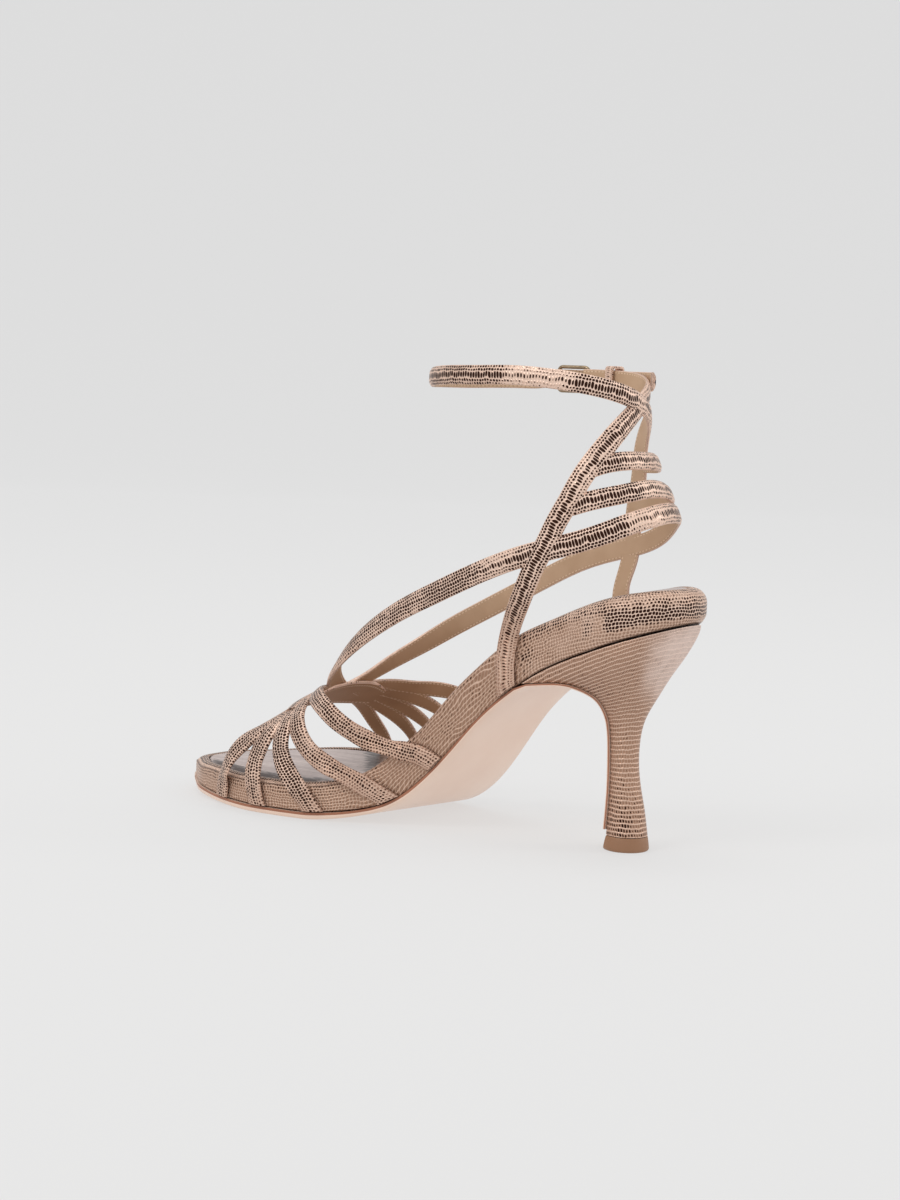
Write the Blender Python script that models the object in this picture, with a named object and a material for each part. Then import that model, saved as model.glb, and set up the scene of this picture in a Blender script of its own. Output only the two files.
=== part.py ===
"""A strappy high-heeled sandal for the right foot, standing on a flat floor.

The straps are laid on the surface of a last, so the empty shoe keeps the shape of the foot.
Inside this file x runs from the toe tip to the back of the heel, +y is the outer side of the
foot and z is up from the floor. The finished shoe is centred on its box, with the toe at -X.
"""

import math

import bmesh
import bpy
import numpy as np
from mathutils import Matrix, Vector

# Driving sizes, in metres
LENGTH = 0.2175
BALL_WIDTH = 0.0794
HEEL_HEIGHT = 0.0846
LEG_RISE = 0.0934
OUTSOLE_THICK = 0.0026
FLAP_THICK = 0.0011
WELT = 0.0005
RIM_WIDTH = 0.0050
RIM_ROUND = 0.0032
SOCK_THICK = 0.0012
STRAP_WIDTH = 0.0078
INNER_FAN_WIDTH = 0.0073
OUTER_FAN_WIDTH = 0.0064
STRAP_THICK = 0.0020
FOOT_THICK = 0.0014
TOPLIFT_THICK = 0.0052
ANKLE_STRAP_WIDTH = 0.0070
BUCKLE_WIRE = 0.0014
PRONG_WIRE = 0.0010
KEEPER_LEATHER = 0.0009
KEEPER_WIDTH = 0.0036
PAD_BULGE = 0.0020
PAD_ROUND = 0.0058
GAP = 0.0003

# Where the outsole leaves the footbed and turns down the heel, as a share of LENGTH
SOLE_BEND = 0.716

# Plan and side view of the sole. along is a share of LENGTH, inner and outer are half widths
# as shares of BALL_WIDTH, under and rim are heights as shares of HEEL_HEIGHT. drop is how much
# lower than the inner edge the outer edge is, and raise how much of that the rim takes back.
# Where under is negative the sole lies flat on the floor.
SOLE_COLUMNS = ("along", "inner", "outer", "under", "rim", "drop", "raise")
SOLE = (
    (0.000, 0.184, 0.245, 0.046, 0.150, 0.000, 0.000),
    (0.030, 0.209, 0.272, 0.034, 0.152, 0.000, 0.000),
    (0.060, 0.286, 0.325, 0.024, 0.153, 0.000, 0.002),
    (0.102, 0.362, 0.360, 0.014, 0.157, 0.000, 0.013),
    (0.183, 0.456, 0.481, 0.004, 0.155, 0.000, 0.035),
    (0.285, 0.484, 0.516, -0.003, 0.155, 0.000, 0.040),
    (0.388, 0.436, 0.499, 0.009, 0.175, 0.009, 0.038),
    (0.439, 0.375, 0.481, 0.034, 0.223, 0.031, 0.040),
    (0.490, 0.315, 0.453, 0.087, 0.333, 0.045, 0.040),
    (0.541, 0.287, 0.423, 0.191, 0.463, 0.054, 0.045),
    (0.592, 0.273, 0.390, 0.326, 0.617, 0.040, 0.036),
    (0.643, 0.264, 0.363, 0.473, 0.747, 0.014, 0.016),
    (0.694, 0.259, 0.343, 0.592, 0.857, 0.003, 0.010),
    (0.775, 0.262, 0.322, 0.730, 0.966, 0.000, 0.015),
    (0.857, 0.292, 0.315, 0.822, 1.055, 0.000, 0.022),
    (0.918, 0.297, 0.300, 0.883, 1.105, 0.000, 0.020),
    (0.959, 0.285, 0.285, 0.921, 1.126, 0.000, 0.010),
    (1.000, 0.258, 0.258, 0.959, 1.140, 0.000, 0.000),
)
TOE_ROUND = 0.05
TOE_POWER = 2.6
HEEL_ROUND = 0.122
HEEL_POWER = 2.2

# The last, as sections through the foot. at runs from the toe to the top of the ankle, along
# is a share of LENGTH, up a share of HEEL_HEIGHT to which leg adds a share of LEG_RISE, tilt
# turns the section from upright to level in degrees. inner and outer are half widths, over
# and below the reach to the top and to the sole or the back, all shares of BALL_WIDTH.
LAST_COLUMNS = ("at", "along", "up", "leg", "tilt", "inner", "outer", "over", "below")
LAST = (
    (0.00, 0.034, 0.213, 0.000, 0, 0.227, 0.202, 0.101, 0.063),
    (0.12, 0.104, 0.213, 0.000, 3, 0.353, 0.340, 0.139, 0.076),
    (0.24, 0.191, 0.225, 0.000, 8, 0.428, 0.441, 0.189, 0.101),
    (0.36, 0.288, 0.260, 0.000, 17, 0.453, 0.479, 0.239, 0.139),
    (0.46, 0.379, 0.390, 0.000, 31, 0.416, 0.466, 0.277, 0.239),
    (0.55, 0.466, 0.615, 0.000, 43, 0.353, 0.428, 0.372, 0.315),
    (0.63, 0.554, 0.875, 0.000, 52, 0.340, 0.390, 0.441, 0.378),
    (0.71, 0.627, 1.000, 0.143, 62, 0.365, 0.390, 0.453, 0.579),
    (0.78, 0.664, 1.000, 0.358, 70, 0.378, 0.403, 0.491, 0.831),
    (0.84, 0.678, 1.000, 0.518, 78, 0.378, 0.403, 0.504, 0.712),
    (0.90, 0.683, 1.000, 0.679, 86, 0.365, 0.378, 0.516, 0.535),
    (0.95, 0.683, 1.000, 0.829, 90, 0.353, 0.365, 0.505, 0.495),
    (1.00, 0.683, 1.000, 1.000, 90, 0.353, 0.365, 0.500, 0.500),
)
LAST_POWER = 2.3

# The heel, as sections from the toplift to the seat. front and back are shares of LENGTH,
# front_up and back_up shares of the height from the toplift to the seat, half a share of
# BALL_WIDTH, and seat tells how far the section has taken the outline of the footbed.
HEEL_COLUMNS = ("at", "front", "front_up", "back", "back_up", "half", "seat")
HEEL = (
    (0.00, 0.8673, 0.000, 0.9260, 0.000, 0.098, 0.00),
    (0.10, 0.8673, 0.113, 0.9194, 0.113, 0.083, 0.00),
    (0.20, 0.8668, 0.214, 0.9112, 0.214, 0.072, 0.00),
    (0.30, 0.8653, 0.316, 0.9056, 0.322, 0.066, 0.00),
    (0.40, 0.8637, 0.420, 0.9060, 0.434, 0.067, 0.00),
    (0.50, 0.8612, 0.511, 0.9140, 0.536, 0.081, 0.00),
    (0.60, 0.8561, 0.584, 0.9315, 0.638, 0.113, 0.05),
    (0.70, 0.8459, 0.641, 0.9479, 0.736, 0.158, 0.18),
    (0.80, 0.8255, 0.678, 0.9663, 0.830, 0.206, 0.42),
    (0.90, 0.7948, 0.690, 0.9826, 0.915, 0.252, 0.72),
    (1.00, 0.7295, 0.668, 0.9990, 0.984, 0.302, 1.00),
)
HEEL_FLAT = 0.74

# The straps. Each web point is (at, turn) on the last: turn is 0 on the outer side, 90 over
# the top, 180 on the inner side and 270 at the sole or the back. Each foot point is (along,
# rise) on the wall of the footbed: rise is 0 at the outsole and 1 at the rim.
INNER, OUTER = -1, 1
FAN_WIDTH = {INNER: INNER_FAN_WIDTH, OUTER: OUTER_FAN_WIDTH}
FAN_STRAPS = {
    "inner_1": (
        INNER,
        ((0.392, 112), (0.380, 127), (0.343, 139), (0.300, 151), (0.252, 168)),
        ((0.174, 1.0), (0.166, 0.5), (0.164, 0.0)),
    ),
    "inner_2": (
        INNER,
        ((0.392, 112), (0.380, 128), (0.354, 142), (0.332, 158), (0.310, 175)),
        ((0.245, 1.0), (0.247, 0.5), (0.255, 0.0)),
    ),
    "inner_3": (
        INNER,
        ((0.394, 112), (0.386, 128), (0.380, 143), (0.376, 158), (0.371, 173)),
        ((0.331, 1.0), (0.349, 0.5), (0.366, 0.0)),
    ),
    "inner_4": (
        INNER,
        ((0.398, 112), (0.401, 130), (0.408, 150), (0.415, 168), (0.424, 184)),
        ((0.424, 1.0), (0.455, 0.48), (0.488, 0.0)),
    ),
    "inner_5": (
        INNER,
        ((0.410, 100), (0.430, 118), (0.452, 140), (0.470, 160), (0.483, 178), (0.495, 194)),
        ((0.494, 1.0), (0.523, 0.68), (0.548, 0.36), (0.571, 0.0)),
    ),
    "outer_1": (
        OUTER,
        ((0.414, 78), (0.426, 62), (0.443, 46), (0.466, 27), (0.493, 11)),
        ((0.517, 1.0), (0.530, 0.5), (0.540, 0.0)),
    ),
    "outer_2": (
        OUTER,
        ((0.404, 78), (0.411, 62), (0.424, 42), (0.451, 20)),
        ((0.452, 1.0), (0.462, 0.5), (0.470, 0.0)),
    ),
    "outer_3": (
        OUTER,
        ((0.396, 78), (0.392, 60), (0.399, 40), (0.420, 18)),
        ((0.399, 1.0), (0.407, 0.5), (0.415, 0.0)),
    ),
    "outer_4": (
        OUTER,
        ((0.389, 78), (0.373, 56), (0.372, 36), (0.389, 16)),
        ((0.339, 1.0), (0.344, 0.5), (0.349, 0.0)),
    ),
    "outer_5": (
        OUTER,
        ((0.382, 80), (0.352, 56), (0.334, 36), (0.330, 17)),
        ((0.267, 1.0), (0.266, 0.5), (0.268, 0.0)),
    ),
}
HUB = (
    (0.394, 50, 1.5),
    (0.389, 62, 2.2),
    (0.386, 77, 2.5),
    (0.385, 92, 2.5),
    (0.384, 108, 2.1),
    (0.382, 122, 1.5),
    (0.380, 134, 1.0),
)
SLING = (
    (0.402, 88), (0.440, 102), (0.486, 122), (0.534, 137), (0.582, 150), (0.628, 162),
    (0.668, 173.5), (0.706, 183), (0.740, 191), (0.766, 198), (0.792, 209), (0.813, 223),
    (0.828, 238), (0.837, 254), (0.841, 270), (0.839, 288), (0.829, 306), (0.809, 320),
    (0.786, 332), (0.762, 342), (0.733, 350), (0.700, 357), (0.664, 364.5), (0.617, 376),
    (0.570, 389), (0.525, 404), (0.480, 423), (0.438, 437), (0.402, 447),
)
INNER_RISER = (
    (
        (0.730, 206.5), (0.760, 202.5), (0.787, 202.7), (0.812, 205.5), (0.838, 211.8),
        (0.863, 220.5), (0.886, 232.5), (0.907, 246.5), (0.927, 262), (0.944, 276), (0.957, 294),
        (0.965, 313), (0.969, 334), (0.970, 352), (0.970, 359),
    ),
    ((0.704, 0.97), (0.700, 0.5), (0.704, 0.0)),
)
OUTER_RISER = (
    (
        (0.736, 324), (0.765, 333), (0.795, 337), (0.825, 336), (0.858, 330), (0.890, 321),
        (0.915, 308), (0.933, 290), (0.946, 272), (0.957, 252), (0.964, 232), (0.969, 211),
        (0.972, 190), (0.971, 170), (0.970, 150), (0.968, 130), (0.966, 110), (0.966, 92),
        (0.966, 74), (0.967, 54), (0.968, 34), (0.969, 20), (0.970, 16), (0.970, 13),
        (0.970, 10), (0.970, 7), (0.970, 3), (0.970, 0), (0.970, -3), (0.970, -6),
        (0.970, -10), (0.970, -15), (0.970, -22), (0.970, -34), (0.970, -47), (0.970, -60),
    ),
    ((0.794, 0.97), (0.796, 0.5), (0.796, 0.0)),
)
RUNGS = {
    "upper": (
        (0.873, 225), (0.880, 235), (0.885, 250), (0.886, 268), (0.884, 286), (0.880, 304),
        (0.876, 322),
    ),
    "lower": (
        (0.833, 212), (0.844, 223), (0.854, 240), (0.860, 258), (0.860, 276), (0.853, 294),
        (0.842, 314), (0.828, 334),
    ),
}
CROSSING_LIFT = (
    (330, 0.0), (308, 0.0004), (290, 0.0010), (272, 0.0012), (252, 0.0008), (232, 0.0002),
    (211, 0.0),
)

# The buckle lies on the outer side of the ankle. The strap runs under its front bar and over
# its rear bar, by this much lift in metres over the strap's own place on the last.
FRONT_BAR_TURN = 12.0
REAR_BAR_TURN = -2.0
TAIL_LIFT = (
    (16, 0.0), (13, 0.0), (10, 0.0006), (7, 0.0021), (3, 0.0037), (0, 0.0042), (-3, 0.0042),
    (-6, 0.0037), (-10, 0.0027), (-15, 0.0024), (-60, 0.0024),
)
KEEPER_TURN = -17.5
BUCKLE_AT = 0.970

SOLE_POINTS = 52

PALETTE = {
    "lizard_leather": ((0.42, 0.24, 0.17, 1.0), 0.6, 0.30),
    "sock_leather": ((0.50, 0.38, 0.34, 1.0), 0.4, 0.38),
    "sole_leather": ((0.72, 0.47, 0.37, 1.0), 0.0, 0.42),
    "toplift_plastic": ((0.38, 0.21, 0.12, 1.0), 0.0, 0.50),
    "buckle_metal": ((0.47, 0.36, 0.26, 1.0), 1.0, 0.25),
}


def smooth(table, columns, name, at):
    """The named column as a natural cubic through its rows, at these values of the first column."""
    rows = np.array(table, float)
    x = rows[:, 0]
    y = rows[:, columns.index(name)]
    n = len(x)
    h = np.diff(x)
    system = np.eye(n)
    right = np.zeros(n)
    for i in range(1, n - 1):
        system[i, i - 1 : i + 2] = h[i - 1], 2 * (h[i - 1] + h[i]), h[i]
        right[i] = 3 * ((y[i + 1] - y[i]) / h[i] - (y[i] - y[i - 1]) / h[i - 1])
    c = np.linalg.solve(system, right)
    at = np.clip(np.asarray(at, float), x[0], x[-1])
    i = np.clip(np.searchsorted(x, at) - 1, 0, n - 2)
    d = at - x[i]
    b = (y[i + 1] - y[i]) / h[i] - h[i] * (2 * c[i] + c[i + 1]) / 3
    return y[i] + b * d + c[i] * d**2 + (c[i + 1] - c[i]) / (3 * h[i]) * d**3


def sole(name, along):
    return smooth(SOLE, SOLE_COLUMNS, name, along)


def outline(along, side):
    """Half width of the sole at this share of its length, with toe and heel rounded off."""
    along = np.asarray(along, float)
    toe = np.clip(1 - along / TOE_ROUND, 0, 1)
    heel = np.clip((along - 1 + HEEL_ROUND) / HEEL_ROUND, 0, 1)
    ends = (1 - toe**TOE_POWER) ** (1 / TOE_POWER) * (1 - heel**HEEL_POWER) ** (1 / HEEL_POWER)
    return BALL_WIDTH * sole("inner" if side == INNER else "outer", along) * ends


def ring(count, inset=0.0):
    """Closed loop in plan, (along x, y), count points a side, moved inward by inset."""
    t = np.linspace(0, 1, count + 1)
    along = 0.5 - 0.5 * np.cos(np.pi * t)
    inner = np.stack([along * LENGTH, -outline(along, INNER)], -1)
    outer = np.stack([along * LENGTH, outline(along, OUTER)], -1)
    loop = np.concatenate([inner, outer[-2:0:-1]])
    ahead = np.roll(loop, -1, 0) - np.roll(loop, 1, 0)
    normal = np.stack([-ahead[:, 1], ahead[:, 0]], -1)
    normal /= np.linalg.norm(normal, axis=1, keepdims=True)
    return loop + normal * (np.zeros(len(loop)) + inset)[:, None]


def pad(count):
    """How far each point of the ring lies in the padded heel, from 0 to 1."""
    share = np.clip((ring(count)[:, 0] / LENGTH - 0.78) / 0.16, 0, 1)
    return share * share * (3 - 2 * share)


def height(name, points):
    """Height of the underside or the rim of the sole over these plan points."""
    along = np.clip(points[:, 0] / LENGTH, 0, 1)
    across = np.clip(points[:, 1] / (0.5 * BALL_WIDTH), -1, 1)
    lower = sole("drop", along)
    if name == "rim":
        lower = lower - sole("raise", along)
    return HEEL_HEIGHT * np.maximum(sole(name, along) - lower * (0.5 + 0.5 * across), 0)


def last(at, turn):
    """Points of the last: a rounded section round its core, turned by its tilt."""
    at = np.asarray(at, float)
    turn = np.radians(np.asarray(turn, float))
    row = {name: smooth(LAST, LAST_COLUMNS, name, at) for name in LAST_COLUMNS}
    tilt = np.radians(row["tilt"])
    c = np.cos(turn)
    s = np.sin(turn)
    c = np.sign(c) * np.abs(c) ** (2 / LAST_POWER)
    s = np.sign(s) * np.abs(s) ** (2 / LAST_POWER)
    y = BALL_WIDTH * np.where(c > 0, row["outer"], row["inner"]) * c
    reach = BALL_WIDTH * np.where(s > 0, row["over"], row["below"]) * s
    x = LENGTH * row["along"] - reach * np.sin(tilt)
    z = HEEL_HEIGHT * row["up"] + LEG_RISE * row["leg"] + reach * np.cos(tilt)
    return np.stack([x, y, z], -1)


def last_normal(at, turn):
    along = last(np.minimum(at + 1e-3, 1), turn) - last(np.maximum(at - 1e-3, 0), turn)
    around = last(at, turn + 0.3) - last(at, turn - 0.3)
    normal = np.cross(around, along)
    return normal / np.linalg.norm(normal)


def on_last(at, turn, lift=0.0):
    """A strap point on the last, with its outward direction."""
    normal = last_normal(at, turn)
    return last(at, turn) + normal * (GAP + STRAP_THICK / 2 + lift), normal


def on_wall(side, along, rise):
    """A strap point on the wall of the footbed, with its outward direction."""
    step = 0.004
    y = side * outline(along, side)
    slope = side * (outline(along + step, side) - outline(along - step, side)) / (2 * step * LENGTH)
    normal = np.array([-slope * side, side, 0.0])
    normal /= np.linalg.norm(normal)
    plan = np.array([[along * LENGTH, y]])
    bottom = height("under", plan)[0] + OUTSOLE_THICK + 2.2 * GAP
    top = height("rim", plan)[0]
    out = 2 * GAP + FOOT_THICK / 2 - WELT
    point = np.array([along * LENGTH, y, bottom + (top - bottom) * rise]) + normal * out
    if rise >= 1:
        normal = normal + np.array([0, 0, 0.9])
        normal /= np.linalg.norm(normal)
        point = point + normal * 0.0008
    return point, normal


def spline(points, count):
    """Smooth curve through the points, spaced evenly along its chords."""
    steps = np.linalg.norm(np.diff(points[:, :3], axis=0), axis=1)
    at = np.concatenate([[0], np.cumsum(steps)])
    table = np.column_stack([at, points])
    columns = tuple(range(table.shape[1]))
    where = np.linspace(0, at[-1], count)
    return np.stack([smooth(table, columns, name, where) for name in columns[1:]], -1)


def mesh_object(name, points, faces, material, parts=True):
    mesh = bpy.data.meshes.new(name)
    mesh.from_pydata([tuple(p) for p in points], [], [tuple(f) for f in faces])
    mesh.update()
    work = bmesh.new()
    work.from_mesh(mesh)
    bmesh.ops.recalc_face_normals(work, faces=work.faces)
    work.to_mesh(mesh)
    work.free()
    obj = bpy.data.objects.new(name, mesh)
    obj.data.materials.append(material_named(material))
    (SANDAL if parts else CUTTERS).objects.link(obj)
    return obj


def material_named(name):
    found = bpy.data.materials.get(name)
    if found:
        return found
    colour, metallic, roughness = PALETTE[name]
    made = bpy.data.materials.new(name)
    made.use_nodes = True
    shader = made.node_tree.nodes["Principled BSDF"]
    shader.inputs["Base Color"].default_value = colour
    shader.inputs["Metallic"].default_value = metallic
    shader.inputs["Roughness"].default_value = roughness
    made.diffuse_color = colour
    return made


def loft(loops, closed=False):
    """Points and faces of a tube through equal closed loops, capped at both ends."""
    count = len(loops[0])
    points = np.concatenate(loops)
    faces = []
    spans = len(loops) if closed else len(loops) - 1
    for i in range(spans):
        a = i * count
        b = (i + 1) % len(loops) * count
        for j in range(count):
            k = (j + 1) % count
            faces.append((a + j, a + k, b + k, b + j))
    if not closed:
        faces.append(tuple(range(count))[::-1])
        faces.append(tuple(range((len(loops) - 1) * count, len(loops) * count)))
    return points, faces


def ladder(first, count):
    """Triangles across a ring of 2 * count points, all split the same way round."""
    total = 2 * count
    faces = [(first, first + 1, first + total - 1)]
    for i in range(1, count - 1):
        faces.append((first + i, first + i + 1, first + total - i))
        faces.append((first + i + 1, first + total - i - 1, first + total - i))
    faces.append((first + count - 1, first + count, first + count + 1))
    return faces


def stacked(name, rings, count, material):
    """A solid whose surface runs through these rings and is closed across the first and last."""
    total = 2 * count
    faces = [tuple(reversed(f)) for f in ladder(0, count)]
    for i in range(len(rings) - 1):
        for j in range(total):
            k = (j + 1) % total
            a = i * total
            b = a + total
            faces.append((a + j, a + k, b + k, b + j))
    faces += ladder((len(rings) - 1) * total, count)
    return mesh_object(name, np.concatenate(rings), faces, material)


def ribbon_loops(path, normals, widths, thick, count, dome=0.35):
    """Sections of a strap: flat against the foot, domed outside, rounded at both edges."""
    thick = np.zeros(len(path)) + thick
    rows = spline(np.column_stack([path, normals, widths, thick]), count)
    centre = rows[:, :3]
    ahead = np.gradient(centre, axis=0)
    ahead /= np.linalg.norm(ahead, axis=1, keepdims=True)
    up = rows[:, 3:6] - ahead * np.sum(rows[:, 3:6] * ahead, axis=1, keepdims=True)
    up /= np.linalg.norm(up, axis=1, keepdims=True)
    side = np.cross(ahead, up)
    half = rows[:, 6:7] / 2
    shape = (
        (-0.86, -0.5), (0.86, -0.5), (1.0, -0.12), (0.90, 0.5 - dome * 0.6),
        (0.50, 0.5 - dome * 0.12), (-0.50, 0.5 - dome * 0.12), (-0.90, 0.5 - dome * 0.6), (-1.0, -0.12),
    )
    loops = []
    for i in range(len(centre)):
        deep = rows[i, 7]
        loops.append(np.array([centre[i] + side[i] * half[i] * a + up[i] * deep * b for a, b in shape]))
    return loops


def strap(name, points, count, width=STRAP_WIDTH, thick=STRAP_THICK, widths=None):
    path = np.array([p for p, _ in points])
    normals = np.array([n for _, n in points])
    sizes = np.full(len(path), width) if widths is None else np.array(widths)
    loops = ribbon_loops(path, normals, sizes, thick, count)
    vertices, faces = loft(loops)
    return mesh_object(name, vertices, faces, "lizard_leather", parts=False)


def join(name, pieces):
    """One body from overlapping straps, by exact unions."""
    base = pieces[0]
    base.name = name
    CUTTERS.objects.unlink(base)
    SANDAL.objects.link(base)
    for piece in pieces[1:]:
        modifier = base.modifiers.new("union", "BOOLEAN")
        modifier.operation = "UNION"
        modifier.solver = "EXACT"
        modifier.use_self = True
        modifier.object = piece
        bpy.context.view_layer.update()
        graph = bpy.context.evaluated_depsgraph_get()
        joined = bpy.data.meshes.new_from_object(base.evaluated_get(graph))
        base.modifiers.clear()
        base.data = joined
        bpy.data.objects.remove(piece, do_unlink=True)
    return base


def build_sole():
    count = SOLE_POINTS
    bulge = PAD_BULGE * pad(count)
    rounding = RIM_ROUND + (PAD_ROUND - RIM_ROUND) * pad(count)
    tray = np.maximum(RIM_WIDTH, rounding + 0.0008)
    # Footbed: a wrapped board with a rounded rim and a shallow tray for the sock
    rings = []
    for inset, rise in ((0.0004, 0.0), (0.0, 0.0006)):
        plan = ring(count, WELT + inset)
        rings.append(np.column_stack([plan, height("under", plan) + OUTSOLE_THICK + 1.5 * GAP + rise]))
    plan = ring(count, WELT - 0.95 * bulge)
    low = height("under", plan) + OUTSOLE_THICK + 1.5 * GAP + 0.0006
    high = height("rim", plan) - rounding
    rings.append(np.column_stack([plan, low + 0.42 * (high - low)]))
    for turn in (0, 28, 56, 90):
        plan = ring(count, WELT - bulge + rounding * (1 - math.cos(math.radians(turn))))
        drop = rounding * (1 - math.sin(math.radians(turn)))
        rings.append(np.column_stack([plan, height("rim", plan) - drop]))
    for inset, drop in ((0.0, 0.0), (0.0002, SOCK_THICK)):
        plan = ring(count, WELT - bulge + tray + inset)
        rings.append(np.column_stack([plan, height("rim", plan) - drop]))
    stacked("footbed", rings, count, "lizard_leather")

    # Sock: a thin pad in the tray
    rings = []
    for inset, rise in ((0.0, 0.0), (0.0, 0.75), (0.0004, 1.0)):
        plan = ring(count, WELT - bulge + tray + 0.0002 + GAP + inset)
        base = height("rim", plan) - SOCK_THICK + GAP
        rings.append(np.column_stack([plan, base + rise * (SOCK_THICK - GAP * 1.5)]))
    stacked("insole", rings, count, "sock_leather")


def heel_row(at):
    """One section of the heel: its front and back points in side view, and its half width."""
    row = {name: float(smooth(HEEL, HEEL_COLUMNS, name, at)) for name in HEEL_COLUMNS}
    floor = TOPLIFT_THICK + GAP
    rise = HEEL_HEIGHT - floor
    front = np.array([row["front"] * LENGTH, floor + row["front_up"] * rise])
    back = np.array([row["back"] * LENGTH, floor + row["back_up"] * rise])
    return front, back, row["half"] * BALL_WIDTH, float(np.clip(row["seat"], 0, 1))


def heel_loop(front, back, half, seat, count=9):
    """A flat-fronted, round-backed loop that takes the outline of the footbed as seat nears 1."""
    q = 0.5 - 0.5 * np.cos(np.linspace(0, np.pi, count))
    rear = np.clip((q - 0.42) / 0.58, 0, 1)
    fore = np.clip((0.42 - q) / 0.42, 0, 1)
    block = np.sqrt(1 - rear**2) - (1 - HEEL_FLAT) * fore**2
    line = front + q[:, None] * (back - front)
    along = np.clip(line[:, 0] / LENGTH, 0, 1)
    chord = float(height("under", np.array([[front[0], 0.0]]))[0])
    chord = chord + q * (float(height("under", np.array([[back[0], 0.0]]))[0]) - chord)
    bulge = height("under", np.column_stack([line[:, 0], 0 * q])) - chord
    z = line[:, 1] + seat * bulge
    sides = []
    for side in (INNER, OUTER):
        wall = np.maximum(outline(along, side) - WELT, 0)
        wall[-1] = 0
        sides.append(side * (block * half * (1 - seat) + wall * seat))
    inner = np.column_stack([line[:, 0], sides[0], z])
    outer = np.column_stack([line[:, 0], sides[1], z])
    return np.concatenate([inner, outer[-2::-1]])


def build_heel():
    loops = []
    for at in np.linspace(0, 1, 18):
        front, back, half, seat = heel_row(at)
        loops.append(heel_loop(front, back, half, seat))
    points, faces = loft(loops)
    mesh_object("heel", points, faces, "lizard_leather")

    # Toplift: a tread pad a little wider than the heel's foot
    front, back, half, _ = heel_row(0)
    loops = []
    for grow, z in ((0.0003, 0.0), (0.0007, 0.0005), (0.0004, 0.0030), (0.0, TOPLIFT_THICK)):
        out = np.array([grow, 0.0])
        low = np.array([front[0], z]) - out
        high = np.array([back[0], z]) + out
        loops.append(heel_loop(low, high, half + grow, 0.0))
    points, faces = loft(loops)
    mesh_object("toplift", points, faces, "toplift_plastic")


def build_outsole():
    """A plate that follows the sole and turns down the breast of the heel as a thin flap."""
    toe = TOE_ROUND * (1 - np.cos(np.linspace(0.06, np.pi / 2, 8)))
    forward = np.concatenate([toe, np.linspace(TOE_ROUND + 0.02, SOLE_BEND, 38)])
    rows = []
    for a in forward:
        fade = float(np.clip((a - 0.37) / 0.22, 0, 1))
        thick = OUTSOLE_THICK * (1 - fade) + 1.3 * FLAP_THICK * fade
        widths = (float(outline(a, INNER)), float(outline(a, OUTER)))
        under = max(float(sole("under", a)), 0.0) * HEEL_HEIGHT
        rows.append((a * LENGTH, under + OUTSOLE_THICK, thick, *widths, float(sole("drop", a)) * HEEL_HEIGHT))
    for at in np.linspace(0.985, 0.02, 22):
        front, back, half, seat = heel_row(at)
        loop = heel_loop(front, back, half, seat)
        spread = 0.0007 + WELT * seat
        rows.append((front[0], front[1], FLAP_THICK, spread - loop[0, 1], spread + loop[-1, 1], 0.0))
    rows = np.array(rows)
    ahead = np.gradient(rows[:, :2], axis=0)
    ahead /= np.linalg.norm(ahead, axis=1, keepdims=True)
    down = np.stack([ahead[:, 1], -ahead[:, 0]], -1)
    loops = []
    for i, (x, z, thick, inner, outer, drop) in enumerate(rows):
        face = np.array([x, z])
        if i >= len(forward):
            face = face + down[i] * GAP
        base = face + down[i] * thick
        if i < len(forward) and rows[i, 0] < 0.45 * LENGTH:
            base = np.array([x, z - thick])
            face = np.array([x, z])
        chamfer = min(0.0011, 0.3 * min(inner, outer), 0.6 * thick)
        corner = face + (base - face) * (1 - chamfer / thick)
        shape = (
            (-inner, face), (outer, face), (outer, corner), (outer - chamfer, base),
            (chamfer - inner, base), (-inner, corner),
        )
        loop = []
        for y, (px, pz) in shape:
            lowered = pz - drop * (0.5 + 0.5 * np.clip(y / (0.5 * BALL_WIDTH), -1, 1))
            if i < len(forward):
                lowered = max(lowered, OUTSOLE_THICK - (z - pz))
            loop.append((px, y, lowered))
        loops.append(np.array(loop))
    points, faces = loft(loops)
    mesh_object("outsole", points, faces, "sole_leather")


def sole_plane(side, along):
    """Upward direction of the outsole at this share of its edge."""
    ends = []
    for a in (along - 0.012, along + 0.012):
        plan = np.array([[a * LENGTH, side * float(outline(a, side))]])
        ends.append((a * LENGTH, height("under", plan)[0]))
    slope = (ends[1][1] - ends[0][1]) / (ends[1][0] - ends[0][0])
    return np.array([-slope, 0.0, 1.0]) / math.hypot(slope, 1.0)


def shear_end(loops, plane):
    """Turn the last sections of a strap to lie along the outsole, so the end meets it squarely."""
    centres = np.array([loop.mean(0) for loop in loops])
    for i in range(len(loops) - 1, 0, -1):
        left = np.linalg.norm(centres[-1] - centres[i])
        share = 1 - left / (1.3 * STRAP_WIDTH)
        if share <= 0:
            break
        ahead = centres[i] - centres[i - 1]
        ahead /= np.linalg.norm(ahead)
        offset = (loops[i] - centres[i]) @ plane
        loops[i] = loops[i] - np.outer(offset / (ahead @ plane), ahead) * share**1.5
    return loops


def wall_strap(name, web, foot, side, count, width, lift=0.0):
    """A strap from the last down the wall of the footbed to the outsole."""
    points = [on_last(at, turn, lift) for at, turn in web]
    points += [on_wall(side, along, rise) for along, rise in foot]
    path = np.array([p for p, _ in points])
    normals = np.array([n for _, n in points])
    thick = [STRAP_THICK] * len(web) + [FOOT_THICK] * len(foot)
    loops = ribbon_loops(path, normals, np.full(len(path), width), thick, count)
    loops = shear_end(loops, sole_plane(side, foot[-1][0]))
    vertices, faces = loft(loops)
    return mesh_object(name, vertices, faces, "lizard_leather", parts=False)


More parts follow.
